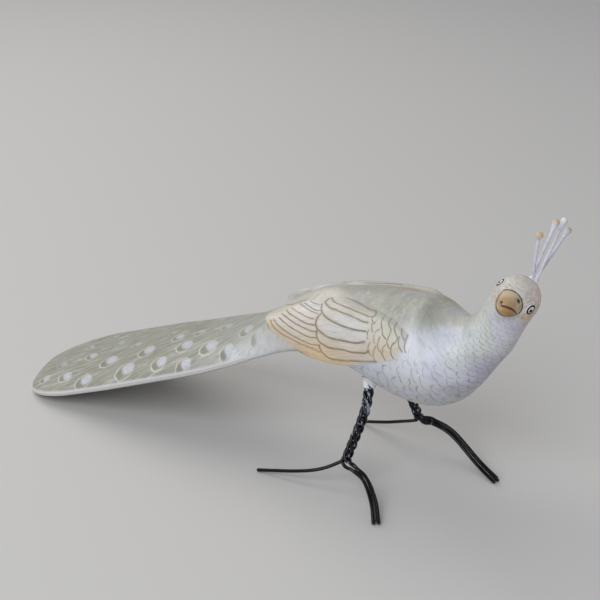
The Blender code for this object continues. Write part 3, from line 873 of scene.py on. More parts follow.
# %% [markdown]
# Satin clay
#
# All the clay has the same ground: hand-rubbed satin paint, a little uneven in tone, with a faint
# tooth from the clay below. Each painted pattern is laid over this ground, so the pieces match
# where they meet.

# %% The clay's ground
MOTTLE_SIZE = 0.011
GRAIN_SIZE = 0.0012
MOTTLE_DEPTH = 0.10
GRAIN_SHARE = 0.35
TOOTH_COARSENESS = 0.4
TOOTH_SHARE = 0.5
TOOTH_DEPTH = 0.00012
ROUGHNESS_LEAST = 0.34
ROUGHNESS_SPREAD = 0.16


def clay_ground(tree, colour):
    """A colour made uneven, as if rubbed on by hand, and the height of the clay's tooth."""
    here = own_place(tree)
    clouds = noise(tree, here, 1 / MOTTLE_SIZE, 4.0, 0.6)
    grain = noise(tree, here, 1 / GRAIN_SIZE, 2.0, 0.6)
    tooth = noise(tree, here, TOOTH_COARSENESS / GRAIN_SIZE, 3.0, 0.55)
    uneven = clouds.band(0.35, 0.7) * MOTTLE_DEPTH + grain.band(0.4, 0.75) * (MOTTLE_DEPTH * GRAIN_SHARE)
    return darkened(tree, colour, uneven), tooth, clouds


def finish_clay(tree, shader, colour, tooth, clouds, relief=None):
    tree.links.new(colour, shader.inputs["Base Color"])
    join(tree, clouds * ROUGHNESS_SPREAD + ROUGHNESS_LEAST, shader.inputs["Roughness"])
    height = tooth * TOOTH_SHARE
    if relief is not None:
        height = height - relief
    raised(tree, shader, height, TOOTH_DEPTH)


# %% [markdown]
# Scales
#
# The breast and neck are brushed with rows of fish-scale arcs, each row half a step beside the
# last. The arc is half an ellipse in the pattern's own coordinates: columns round the bird and rows
# along it. Rows are counted along the spine with a spacing that changes from place to place, so the
# scales grow smaller up the neck.

# %% The scale pattern
SCALE_COLUMNS = 16
ARC_THICKNESS = 0.12
ARC_CORE = 0.3
# The brush lands on one side of the arc and lifts off before the other. Both places are counted across
# the scale from its middle, and each scale's own luck shifts them
ARC_LANDS = (-0.52, -0.42)
ARC_LIFTS_OFF = (0.32, 0.56)
LANDING_LUCK = 0.05
LIFTING_LUCK = 0.24
# The soft shade under an arc comes in and goes out between these distances from it
SHADE_IN = (-0.02, 0.06)
SHADE_OUT = (0.06, 0.42)


def scale_arcs(tree, columns, rows_along):
    """The arcs' line, the shade just under each arc and a random number for each scale."""
    row = rows_along.then("CEIL")
    down = rows_along - row
    shifted = columns + row * 0.5
    aside = shifted.then("FRACT") - 0.5
    edge = length(aside * 2.0, down) - 1.0
    luck = chance(tree, combined(tree, shifted.then("FLOOR"), row, 0.0))
    lift_off = (aside + luck * LIFTING_LUCK).fade(*ARC_LIFTS_OFF)
    brush = lift_off * (aside - luck * LANDING_LUCK).band(*ARC_LANDS)
    line = abs(edge).fade(ARC_THICKNESS * ARC_CORE, ARC_THICKNESS) * brush
    return line, edge.band(*SHADE_IN) * edge.fade(*SHADE_OUT) * brush, luck


print("Scale columns round the bird:", SCALE_COLUMNS)

# %% [markdown]
# Where each paint goes on the body
#
# The broad tones are stored at the skin's points. Each zone is a spot on the clay with its own
# paint, and a point takes the zones' mix by how near it is to each, which gives the soft blends of
# a brush.

# %% The body's tones
TAIL_OLIVE = paint(151, 147, 131)
TAIL_GREY = paint(158, 156, 143)
TAIL_WARM = paint(150, 140, 116)
ROOT_BLUE = paint(222, 221, 221)
RUMP_WHITE = paint(198, 191, 176)
BACK_GREY = paint(161, 158, 144)
# The next tone is painted light: lighter than the back's grey, to lift the shade in the hollow where the
# back meets the neck
BACK_FRONT_PAINTED_LIGHT = paint(180, 178, 162)
BACK_WARM = paint(176, 160, 136)
BREAST_WHITE = paint(212, 213, 222)
# The next tone is a painted highlight: a lighter copy of the breast's white for the upper shoulder and the
# wing's front
BREAST_PAINTED_HIGHLIGHT = paint(230, 231, 238)
# The next tone is painted shade: a darker copy of the breast's white for the lower breast and the neck's
# front
BREAST_PAINTED_SHADE = paint(178, 173, 178)
BREAST_LOW = paint(190, 188, 194)
BELLY_WHITE = paint(204, 206, 212)
NECK_GREEN = paint(206, 210, 205)
NECK_LILAC = paint(214, 210, 224)
NECK_PINK = paint(216, 192, 182)
HEAD_PINK = paint(238, 213, 202)
CROWN_GREEN = paint(200, 192, 178)
CHEEK_GREY = paint(206, 198, 190)
BLUSH = paint(220, 182, 142)

# Along, side, height, reach and paint
BODY_ZONES = (
    (-200, 0, 8, 1.0, TAIL_OLIVE),
    (-160, 0, 22, 1.0, TAIL_OLIVE),
    (-125, 0, 36, 1.0, TAIL_OLIVE),
    (-160, 24, 20, 0.8, TAIL_WARM),
    (-122, 22, 36, 0.8, TAIL_WARM),
    (-92, 0, 54, 0.9, TAIL_GREY),
    (-76, -6, 58, 0.7, TAIL_GREY),
    (-64, -4, 64, 0.5, TAIL_GREY),
    (-72, -22, 52, 0.35, ROOT_BLUE),
    (-60, -18, 54, 0.6, ROOT_BLUE),
    (-45, 0, 80, 0.7, RUMP_WHITE),
    (-24, -8, 92, 0.5, RUMP_WHITE),
    (-12, 0, 98, 0.6, BACK_GREY),
    (8, -8, 100, 0.7, BACK_GREY),
    (26, -6, 101, 0.7, BACK_GREY),
    (33, -4, 97, 0.6, BACK_FRONT_PAINTED_LIGHT),
    (41, 0, 97, 0.6, BACK_FRONT_PAINTED_LIGHT),
    (8, 12, 98, 0.45, BACK_WARM),
    (30, 14, 100, 0.45, BACK_WARM),
    (32, -22, 86, 0.7, BREAST_PAINTED_HIGHLIGHT),
    (38, -10, 94, 0.5, BREAST_WHITE),
    (46, -18, 78, 0.7, BREAST_WHITE),
    (46, -19, 68, 0.5, BREAST_PAINTED_SHADE),
    (57, -8, 78, 0.7, BREAST_PAINTED_SHADE),
    (50, 0, 56, 0.8, BREAST_LOW),
    (40, -17, 60, 0.6, BREAST_LOW),
    (30, 0, 50, 0.9, BELLY_WHITE),
    (0, -12, 60, 0.8, BELLY_WHITE),
    (0, 12, 60, 0.8, BELLY_WHITE),
    (32, 22, 84, 0.8, BREAST_WHITE),
    (54, -12, 92, 0.5, NECK_GREEN),
    (66, -8, 92, 0.5, NECK_LILAC),
    (74, -2, 90, 0.5, NECK_LILAC),
    (74, 8, 96, 0.6, NECK_PINK),
    (68, 10, 84, 0.6, NECK_PINK),
    (62, 12, 72, 0.5, NECK_PINK),
    (66, -6, 106, 0.35, NECK_LILAC),
    (58, 0, 112, 0.4, NECK_GREEN),
    (66, 2, 124, 0.5, CROWN_GREEN),
    (62, -8, 118, 0.35, CROWN_GREEN),
    (76, 4, 118, 0.4, CHEEK_GREY),
    (74, 10, 112, 0.35, NECK_PINK),
)
ZONE_RADIUS = 9.0

# Dabs over the tones: forward, left and up from the head's middle, reach and paint
HEAD_DABS = (
    (0.1, 6.7, 8.7, 4.4, HEAD_PINK),
    (-1.2, 4.5, 10.2, 3.4, HEAD_PINK),
    (4.6, 7.0, 6.8, 3.4, HEAD_PINK),
    (-3.0, 9.8, 3.4, 3.6, HEAD_PINK),
    (5.4, 9.3, -1.2, 1.8, BLUSH),
    (7.1, 8.0, -1.4, 1.6, BLUSH),
    (4.2, 10.0, -0.1, 1.5, BLUSH),
    (4.2, -9.7, -2.4, 1.3, BLUSH),
    (6.7, -8.1, -2.8, 1.2, BLUSH),
)


def toned(points, zones):
    """The mix of the zones' paints at each point."""
    total, colour = 0, 0
    for *middle, reach, tone in zones:
        far = np.linalg.norm(points - middle, axis=-1) / (reach * ZONE_RADIUS)
        weight = 1 / (1 + far**2) ** 2
        total = total + weight
        colour = colour + weight[..., None] * tone
    return colour / total[..., None]


def head_place(points):
    """Points as forward, left and up from the head's middle."""
    return (points - HEAD_MIDDLE) @ np.stack([forward, left, up], axis=1)


def dabbed(points, colour, dabs):
    """The colour with soft dabs laid over it."""
    for *middle, reach, tone in dabs:
        far = np.linalg.norm(head_place(points) - middle, axis=-1) / reach
        share = np.exp(-(far**2))[..., None]
        colour = colour * (1 - share) + tone * share
    return colour


def on_ground(points):
    """The points with nothing below the ground, where the tail rests flat."""
    return np.stack([points[..., 0], points[..., 1], np.maximum(points[..., 2], 0)], axis=-1)


body_tone = dabbed(body_points, toned(body_points, BODY_ZONES), HEAD_DABS)
print("Body tones:", len(BODY_ZONES), "zones and", len(HEAD_DABS), "dabs")

# %% [markdown]
# Eye spots on the tail
#
# The tail carries rows of eye spots, each a pale ring with a dark drop and a white blob inside.
# Every spot has its own little coordinates, stretched so that its rim lies at a distance of one.
# The skin keeps them at its points, and the shader draws all the spots with one formula.

# %% The tail's eye spots
SPOT_LONG_ANGLE = 48.0
SPOT_LONG = 5.5
SPOT_WIDE = 6.7
SPOT_REACH = 1.8
# Along, side, size and strength of the paint
SPOTS = (
    (-198.5, -31.2, 0.60, 0.8),
    (-184.8, -29.1, 0.75, 1.0),
    (-167.6, -33.1, 0.95, 1.0),
    (-196.8, -17.9, 0.60, 0.5),
    (-182.0, -8.8, 0.70, 0.9),
    (-192.1, 2.6, 0.50, 0.6),
    (-161.6, -17.9, 1.00, 1.0),
    (-141.2, -28.6, 1.05, 1.0),
    (-171.3, 4.4, 0.55, 0.5),
    (-152.1, -3.3, 0.60, 0.5),
    (-137.5, -13.6, 0.95, 0.95),
    (-119.9, -25.4, 0.85, 1.0),
    (-133.0, 4.8, 0.50, 0.4),
    (-123.0, -3.3, 0.70, 0.8),
    (-111.4, -13.5, 0.90, 1.0),
    (-102.1, -27.4, 0.80, 1.0),
    (-109.6, -0.8, 0.65, 0.45),
    (-92.8, -17.1, 0.95, 1.0),
    (-78.7, -20.9, 0.70, 1.0),
    (-93.4, 1.1, 0.65, 0.5),
    (-73.0, -10.7, 0.70, 0.75),
    (-63.7, -15.6, 0.60, 0.6),
    (-186.0, 17.0, 0.60, 0.35),
    (-166.0, 20.0, 0.65, 0.35),
    (-147.0, 14.0, 0.60, 0.3),
    (-145.0, 26.0, 0.60, 0.3),
    (-126.0, 19.0, 0.65, 0.35),
    (-107.0, 14.0, 0.60, 0.35),
    (-90.0, 17.0, 0.60, 0.35),
    (-74.0, 9.0, 0.55, 0.35),
)


def spot_values(points):
    """Each point's place in its nearest spot's coordinates, its distance there and the spot's strength."""
    angle = math.radians(SPOT_LONG_ANGLE)
    long_axis = np.array([math.cos(angle), math.sin(angle)])
    wide_axis = np.array([math.sin(angle), -math.cos(angle)])
    best = np.full(points.shape[:-1], FAR_OFF)
    inner = np.full((*points.shape[:-1], 2), FAR_OFF)
    strength = np.zeros(points.shape[:-1])
    for along, side, size, amount in SPOTS:
        offset = points[..., :2] - (along, side)
        ahead, aside = offset @ long_axis / (SPOT_LONG * size), offset @ wide_axis / (SPOT_WIDE * size)
        own = np.stack([ahead, aside], axis=-1)
        far = np.linalg.norm(own, axis=-1)
        nearer = far < np.minimum(best, SPOT_REACH)
        best[nearer] = far[nearer]
        inner[nearer] = own[nearer]
        strength[nearer] = amount
    return np.concatenate([inner, best[..., None]], axis=-1), strength


print("Eye spots:", len(SPOTS))

# %% [markdown]
# The body's maps
#
# Two maps follow the skin. One measures it in millimetres along the spine and round the girth, for
# brush strokes. The other counts scales. The rows are spaced by given pitches along the body,
# added up ring by ring, so that a row has the right depth wherever it lies.

# %% Maps along and round the body
# Place along and the depth of a row of scales there, in millimetres
ROW_PITCHES = ((-60, 5.0), (9, 4.4), (23, 3.7), (33, 2.8), (46, 2.2), (55, 2.1), (66, 2.2))
# Place along and how strongly the scales show there
SCALE_STRENGTH = ((-40, 0.0), (-12, 0.5), (8, 0.9), (50, 1.0), (62, 0.95), (68, 0.6), (74, 0.2), (80, 0.0))
# Place along and how strongly the tail's brush strokes show
STREAK_STRENGTH = ((-220, 1.0), (-90, 1.0), (-66, 0.7), (-52, 0.0))


def from_table(table, places):
    return np.interp(places, *zip(*table))


ring_along = rows[:, 0]
ring_steps = np.diff(spine_travelled, prepend=0)
row_count = (ring_steps / from_table(ROW_PITCHES, ring_along)).cumsum()
closed_angles = np.hstack([body_angles, body_angles[:, :1] + 2 * math.pi])
steps_round = np.linalg.norm(np.roll(body_points, -1, axis=1) - body_points, axis=-1)
travelled_round = np.hstack([np.zeros((len(rows), 1)), steps_round.cumsum(axis=1)])
skin_map = np.stack([spine_travelled[:, None] + 0 * closed_angles, travelled_round], axis=-1)
columns_round = closed_angles / (2 * math.pi) * SCALE_COLUMNS
scale_map = np.stack([columns_round, row_count[:, None] + 0 * closed_angles], axis=-1)
print("Rows of scales:", round(row_count[-1]))

# %% The body's brushwork
# Place along where the tail starts, and over what length
TAIL_FROM = -55.0
TAIL_BLEND = 12.0
# How steeply the eye spots fade where the tail's top turns down to its rim
RIM_FADE = 0.3
# How much weaker the scales are on the back, whose middle is at a quarter turn
BACK_FADE = 0.7
BACK_POWER = 1.5
# The scales start this far from the head's middle, over a length
SCALES_OFF_HEAD = 9.0
SCALES_BLEND = 4.0
# A bare place beside each wing, as along, half the distance between the two, height and reach
BARE_PLACE = (33.0, 20.0, 88.0)
BARE_REACH = 11.0
BARE_DEPTH = 0.9
# The hair strokes end this far from the head's middle and this low on it, each over a length
HAIR_REACH = 20.0
HAIR_BLEND = 8.0
HAIR_LOW = -8.0
HAIR_LOW_BLEND = 6.0

on_tail = falling(body_points[..., 0], TAIL_FROM, TAIL_BLEND)
reach_round, whole_round = travelled_round[:, :-1], travelled_round[:, -1:]
far_rim = np.abs(reach_round - travelled_round[:, [TOP_STEPS]])
rim_reach = np.minimum(np.minimum(reach_round, far_rim), whole_round - reach_round)
spots, spot_strength = spot_values(body_points)
spot_strength = spot_strength * np.clip(np.sin(body_angles) / RIM_FADE, 0, 1)
head_far = np.linalg.norm(body_points - HEAD_MIDDLE, axis=-1)
on_back = np.clip(np.sin(body_angles), 0, 1)
folded = np.stack([body_points[..., 0], np.abs(body_points[..., 1]), body_points[..., 2]], axis=-1)
bare_far = np.linalg.norm(folded - BARE_PLACE, axis=-1)
scales_here = from_table(SCALE_STRENGTH, body_points[..., 0])
scales_here = scales_here * (1 - BACK_FADE * on_back**BACK_POWER)
scales_here = scales_here * rising(head_far, SCALES_OFF_HEAD, SCALES_BLEND)
scales_here = scales_here * (1 - BARE_DEPTH * np.exp(-((bare_far / BARE_REACH) ** 2)))
streaks_here = from_table(STREAK_STRENGTH, body_points[..., 0])
hair_here = falling(head_far, HAIR_REACH, HAIR_BLEND)
hair_here = hair_here * rising(head_place(body_points)[..., 2], HAIR_LOW, HAIR_LOW_BLEND)
print("Strongest scales:", scales_here.max().round(2))

# %% [markdown]
# The body's finish
#
# One material paints the whole body. It starts from the stored tone, then adds brush strokes along
# the tail, the fine hair strokes of the head, the scales, the eye spots and the tail's rim with its
# painted highlight, in the order that a painter would work.

# %% Brushwork of the body
SCALE_INK = paint(120, 126, 130)
PATCH_GREEN = paint(202, 206, 190)
PATCH_LILAC = paint(198, 197, 220)
STREAK_LIGHT = paint(182, 184, 178)
STREAK_DARK = paint(126, 122, 104)
STREAK_GREEN = paint(140, 145, 132)
HAIR_INK = paint(122, 126, 114)
HAIR_LIGHT = paint(220, 210, 194)
CROWN_MOTTLE = paint(160, 162, 150)
RUB_GREEN = paint(150, 158, 146)
RUB_LIGHT = paint(220, 220, 214)
SPOT_RING = paint(206, 202, 190)
SPOT_SHADE = paint(126, 122, 110)
SPOT_TAN = paint(158, 150, 132)
SPOT_BLOB = paint(197, 200, 209)
RIM_PAINTED_HIGHLIGHT = paint(214, 214, 214)
RIM_TAN = paint(184, 172, 152)
RIM_PINK = paint(190, 168, 152)
FOOT_INK = paint(44, 42, 40)
STROKE_ANGLE = 32.0
# How fine the patterns without strokes are, in waves per metre, and where the scales' ink fades
MOTTLE_FINENESS = 330.0
PATCH_FINENESS = 60.0
DRIFT_FINENESS = 150.0
FADING_FINENESS = 120.0
FADING = (0.28, 0.52)
# How far the scales' pattern drifts across and along, and how much luck and fading weaken their ink
SCALE_DRIFT = (0.8, 1.0)
INK_LUCK = 0.35
INK_LEAST = 0.45
INK_FADING = 0.6
SHADE_DEPTH = 0.06
SCALE_RELIEF = 0.5
# Each pattern's fineness along and across its strokes, per millimetre, its detail and its roughness
BROAD_STROKE = (0.03, 0.11, 2.0, 0.5)
STROKE = (0.08, 0.45, 3.0, 0.6)
FINE_STROKE = (0.16, 1.3, 2.0, 0.6)
RUB = (0.42, 0.24, 4.0, 0.65)
HAIR = (0.6, 1.5, 2.0, 0.5)
# Each layer's pattern, the part of it that is painted, the two values between which that part comes in,
# how strongly it covers, and its paint
TAIL_LAYERS = (
    ("broad", "high", 0.42, 0.66, 0.4, STREAK_GREEN),
    ("stroke", "high", 0.50, 0.68, 0.8, STREAK_LIGHT),
    ("stroke", "low", 0.32, 0.48, 0.65, STREAK_DARK),
    ("fine", "high", 0.52, 0.70, 0.45, STREAK_LIGHT),
)
RUB_LAYERS = (
    ("rub", "high", 0.50, 0.68, 0.34, RUB_GREEN),
    ("rub", "low", 0.32, 0.48, 0.26, RUB_LIGHT),
)
PATCH_LAYERS = (
    ("patch", "high", 0.52, 0.64, 0.55, PATCH_GREEN),
    ("patch", "low", 0.36, 0.48, 0.5, PATCH_LILAC),
)
HAIR_LAYERS = (
    ("mottle", "high", 0.50, 0.64, 0.5, CROWN_MOTTLE),
    ("hair", "high", 0.55, 0.66, 0.5, HAIR_INK),
    ("hair", "low", 0.36, 0.47, 0.55, HAIR_LIGHT),
)
# The dark drop and the white blob in a spot: each one's shift along it, and its squeeze along and across
SPOT_DROP = (0.38, 1.9, 1.6)
SPOT_WHITE = (-0.32, 1.6, 1.3)
# Where each mark fades, in the spot's own size, and how strongly it covers
SPOT_INSIDE = (0.82, 0.92)
DROP_FADES = (0.6, 1.05)
WHITE_FADES = (0.66, 1.05)
WHITE_ENDS = (1.0, 1.15)
RING_IN = (0.80, 0.88)
RING_OUT = (0.93, 1.04)
SPOT_RAGGED = (350.0, 0.3)
# How fine the spots' brush marks are and how little paint is left between them
BRUSH_FINENESS = 900.0
BRUSH_LEAST = 0.55
TAN_STRENGTH = 0.4
SHADE_STRENGTH = 0.75
BLOB_STRENGTH = 0.85
# The rim's bands on the near side, which is a painted highlight, on the far side and at the very edge: from
# and to which distance in millimetres each fades, how strongly it covers, and its paint
RIM_BANDS = (
    (0.7, 2.6, 0.85, RIM_PAINTED_HIGHLIGHT),
    (0.4, 1.5, 0.6, RIM_TAN),
    (0.2, 0.7, 0.45, RIM_PINK),
)
# The near side fades out between these places across the tail, in metres
NEAR_SIDE = (-0.012, 0.004)
# How fine and how strong the raggedness of the dark line round the beak is, and where the line ends
LINE_FINENESS = 1100.0
LINE_RAGGED = 0.3
FOOT_ENDS = (0.1, 0.4)


print("Layers of strokes on the tail:", len(TAIL_LAYERS))


# %% The body's finish
def tail_strokes(tree, colour, share):
    """Light and dark strokes that slant across the tail like barbs."""
    x, y, _ = split(tree, own_place(tree))
    turn = math.radians(STROKE_ANGLE)
    cosine, sine = math.cos(turn) / MM, math.sin(turn) / MM
    down, aside = x * cosine + y * sine, y * cosine - x * sine
    patterns = {
        "broad": stretched(tree, down, aside, 0.0, *BROAD_STROKE),
        "stroke": stretched(tree, down, aside, 5.0, *STROKE),
        "fine": stretched(tree, down, aside, 3.0, *FINE_STROKE),
    }
    return brushed(tree, colour, patterns, TAIL_LAYERS, share)


def oval(ahead, aside, shift, narrow, thin):
    """The distance from an oval mark's middle, in its own size."""
    return length((ahead + shift) * narrow, aside * thin)


def painted_spots(tree, colour, own, strength):
    """The eye spots: a ring, a dark drop at its tail end and a white blob at the other."""
    ahead, aside, far = own
    wobble = ragged(tree, *SPOT_RAGGED)
    brush = noise(tree, own_place(tree), BRUSH_FINENESS).band(0.3, 0.65)
    brush = brush * (1 - BRUSH_LEAST) + BRUSH_LEAST
    far = far + wobble
    rim = far.band(*RING_IN) * far.fade(*RING_OUT) * (ahead * -0.15 + 0.7)
    inside = far.fade(*SPOT_INSIDE)
    drop = (oval(ahead, aside, *SPOT_DROP) + wobble).fade(*DROP_FADES)
    blob = (oval(ahead, aside, *SPOT_WHITE) + wobble).fade(*WHITE_FADES) * far.fade(*WHITE_ENDS)
    colour = mixed(tree, inside * strength * TAN_STRENGTH, colour, SPOT_TAN)
    colour = mixed(tree, drop * inside * strength * SHADE_STRENGTH, colour, SPOT_SHADE)
    colour = mixed(tree, blob * strength * brush * BLOB_STRENGTH, colour, SPOT_BLOB)
    return mixed(tree, rim * strength * brush, colour, SPOT_RING)


def tail_rim(tree, colour, rim, share):
    """The tail's rim: a painted highlight of white on the near side, a thin tan line on the far one and pink
    at the very edge.
    """
    near = split(tree, own_place(tree))[1].fade(*(place + ORIGIN[1] for place in NEAR_SIDE))
    for side, (start, end, strength, tone) in zip((near, near.opposite(), 1.0), RIM_BANDS):
        colour = mixed(tree, rim.fade(start, end) * side * share * strength, colour, tone)
    return colour


def inked_scales(tree, colour, columns, rows_along, share):
    """The colour with the scales drawn on it, and their line."""
    drift = noise(tree, own_place(tree), DRIFT_FINENESS, 1.0) - 0.5
    across, along = SCALE_DRIFT
    line, under, luck = scale_arcs(tree, columns + drift * across, rows_along + drift * along)
    fading = noise(tree, own_place(tree), FADING_FINENESS).band(*FADING)
    ink = line * (luck * INK_LUCK + INK_LEAST) * (fading * INK_FADING + (1 - INK_FADING)) * share
    colour = darkened(tree, colour, under * share * SHADE_DEPTH)
    return mixed(tree, ink, colour, SCALE_INK), line * share * SCALE_RELIEF


def body_finish():
    material, tree, shader = fresh_finish("painted_clay_body", 0.42)
    along, round_about = map_parts(tree, "skin")
    scale_share, streak_share, spot_share = kept_parts(tree, "brushwork")
    hair_share, rim, on_tail_share = kept_parts(tree, "edges")
    mottle = speckled(tree, MOTTLE_FINENESS)
    patterns = {
        "mottle": mottle,
        "rub": stretched(tree, along, round_about, mottle, *RUB),
        "patch": noise(tree, own_place(tree), PATCH_FINENESS),
        "hair": stretched(tree, along, round_about, mottle * 2.0, *HAIR),
    }
    colour, tooth, clouds = clay_ground(tree, kept(tree, "tone").outputs["Color"])
    colour = tail_strokes(tree, colour, streak_share)
    colour = brushed(tree, colour, patterns, RUB_LAYERS, streak_share.opposite() * hair_share.opposite())
    colour = brushed(tree, colour, patterns, PATCH_LAYERS, scale_share)
    colour = brushed(tree, colour, patterns, HAIR_LAYERS, hair_share)
    colour, relief = inked_scales(tree, colour, *map_parts(tree, "scales"), scale_share)
    colour = painted_spots(tree, colour, kept_parts(tree, "spot"), spot_share)
    colour = tail_rim(tree, colour, rim, on_tail_share)
    foot = kept_number(tree, "beak_foot") + ragged(tree, LINE_FINENESS, LINE_RAGGED)
    colour = mixed(tree, foot.fade(*FOOT_ENDS), colour, FOOT_INK)
    finish_clay(tree, shader, colour, tooth, clouds, relief)
    return material


# %% The body's piece
def tree_of(points):
    """A search tree of a grid's faces."""
    corner_rows, corner_columns = grid_quads(*points.shape[:2])
    quads = corner_rows * points.shape[1] + corner_columns % points.shape[1]
    return BVHTree.FromPolygons(points.reshape(-1, 3).tolist(), quads.tolist())


def surface_distance(points, faces):
    """How far each point lies from a grid's faces."""
    flat = points.reshape(-1, 3)
    return np.array([faces.find_nearest(spot)[3] for spot in flat.tolist()]).reshape(points.shape[:-1])


body_faces = tree_of(body_points)
brushwork = np.stack([scales_here, streaks_here, spot_strength], axis=-1)
edges = np.stack([hair_here, rim_reach + FAR_OFF * (1 - on_tail), on_tail], axis=-1)
body_values = {
    "tone": with_poles(body_tone, body_tone[0, 0], body_tone[-1, 0]),
    "brushwork": with_poles(brushwork, (0, 1, 0), (0, 0, 0)),
    "edges": with_poles(edges, (0, 0, 1), (1, FAR_OFF, 0)),
    "spot": with_poles(spots, [FAR_OFF] * 3, [FAR_OFF] * 3),
}
body_skin = painted_piece(
    "body_skin",
    on_ground(body_points),
    np.array([tail_pole, crown_pole]),
    body_finish(),
    body_values,
    {"skin": skin_map, "scales": scale_map},
)

# %% [markdown]
# The feathers of a wing
#
# A wing is painted in three fields: small scales at the shoulder, a block of long rounded feathers,
# and the narrow flight feathers that fan from the tip. Each painted line is a few points on the
# wing, given by how far along it lies and how high between its edges. The skin keeps its distance
# to the nearest line, counted in line widths, so the brush line stays even whatever the faces are.

# %% The wing's lines
# Each line is its width in millimetres, how golden its brown is, and its points as place along and share up
# The flight feathers' edges, with a painted shadow along the wing's upper edge and the painted shadow of its
# lower one
FLIGHT_LINES = (
    (0.66, 1.0, (-55.4, 0.55), (-53.6, 0.422), (-51.2, 0.338), (-47.8, 0.295), (-43.1, 0.272),
     (-37.9, 0.243), (-33.1, 0.21), (-27.7, 0.175), (-23.3, 0.153), (-21.8, 0.147)),
    (0.56, 0.7, (-53.4, 0.6), (-50.5, 0.481), (-46.9, 0.397), (-42.8, 0.338), (-38.2, 0.294),
     (-32.8, 0.25), (-27.5, 0.214), (-22.4, 0.214)),
    (0.5, 0.2, (-49.9, 0.639), (-47.4, 0.563), (-45.1, 0.512), (-41.5, 0.445), (-36.8, 0.387),
     (-31.3, 0.327), (-28.0, 0.304), (-24.2, 0.309)),
    (0.5, 0.2, (-49.3, 0.734), (-45.4, 0.631), (-41.5, 0.554), (-37.2, 0.488), (-31.6, 0.427),
     (-27.6, 0.394), (-23.8, 0.397)),
    (0.52, 0.25, (-47.0, 0.791), (-44.4, 0.707), (-41.0, 0.638), (-35.8, 0.558), (-31.5, 0.5),
     (-27.6, 0.481), (-25.1, 0.482)),
    (0.4, 0.2, (-44.0, 0.808), (-40.4, 0.727), (-36.5, 0.663), (-32.5, 0.604), (-29.1, 0.57),
     (-27.2, 0.567)),
    (0.44, 0.3, (-40.4, 0.872), (-37.8, 0.818), (-34.8, 0.754), (-30.8, 0.689), (-27.3, 0.657),
     (-25.7, 0.655)),
    (0.44, 0.2, (-37.8, 0.867), (-33.6, 0.782), (-30.2, 0.725), (-27.3, 0.698), (-25.0, 0.701)),
    (0.36, 0.2, (-34.7, 0.884), (-31.6, 0.829), (-28.6, 0.801), (-26.4, 0.801)),
    # A painted shadow along the wing's upper edge, where it stands off the back
    (0.5, 0.3, (-48.8, 0.949), (-45.4, 0.903), (-41.2, 0.914), (-36.1, 0.937), (-31.7, 0.939),
     (-28.3, 0.96), (-26.4, 0.996)),
    # The painted shadow under the wing's lower edge
    (0.7, 0.2, (-58.0, 0.2), (-57.0, 0.14), (-54.2, 0.115), (-51.4, 0.105), (-47.6, 0.095),
     (-43.9, 0.085), (-39.9, 0.075), (-35.0, 0.065)),
)
# The block of long feathers and the golden edge below it
LONG_LINES = (
    (0.56, 0.2, (-24.2, 0.951), (-23.8, 0.99), (-21.6, 0.997), (-19.2, 0.998), (-14.9, 0.988),
     (-10.1, 0.968), (-4.4, 0.951), (0.3, 0.936), (3.3, 0.956), (4.1, 0.913), (4.3, 0.853)),
    (0.62, 0.2, (-24.2, 0.951), (-21.8, 0.893), (-19.2, 0.864), (-15.8, 0.847), (-11.2, 0.83),
     (-6.0, 0.818), (-1.1, 0.811), (1.9, 0.811), (4.1, 0.847)),
    (0.7, 0.2, (-24.0, 0.934), (-25.1, 0.896), (-25.3, 0.844), (-23.3, 0.799), (-19.9, 0.757),
     (-16.8, 0.748), (-12.2, 0.728), (-7.9, 0.718), (-3.5, 0.704), (0.1, 0.693), (2.8, 0.706)),
    (0.74, 0.25, (-26.4, 0.807), (-25.5, 0.739), (-23.8, 0.673), (-21.2, 0.622), (-18.3, 0.59),
     (-15.1, 0.565), (-11.3, 0.545), (-7.1, 0.532), (-3.1, 0.529), (0.8, 0.54), (3.4, 0.554)),
    (0.8, 0.25, (-24.0, 0.661), (-25.2, 0.601), (-25.6, 0.54), (-25.2, 0.483), (-23.8, 0.433),
     (-21.3, 0.393), (-18.2, 0.357), (-14.4, 0.336), (-9.7, 0.331), (-5.1, 0.327), (-1.1, 0.328),
     (1.6, 0.349), (3.7, 0.375)),
    (0.74, 0.3, (-23.8, 0.419), (-24.0, 0.362), (-23.5, 0.309), (-22.3, 0.266), (-19.8, 0.235),
     (-16.8, 0.209), (-13.1, 0.2), (-7.7, 0.199), (-4.8, 0.186), (-1.9, 0.175), (2.0, 0.181),
     (4.8, 0.185), (6.5, 0.227)),
    (0.72, 0.5, (-22.0, 0.22), (-22.0, 0.185), (-21.1, 0.155), (-19.1, 0.123), (-17.4, 0.098),
     (-15.9, 0.09)),
    (0.8, 0.75, (-15.6, 0.084), (-10.1, 0.073), (-4.0, 0.059), (1.7, 0.044), (7.5, 0.036),
     (10.5, 0.031)),
)
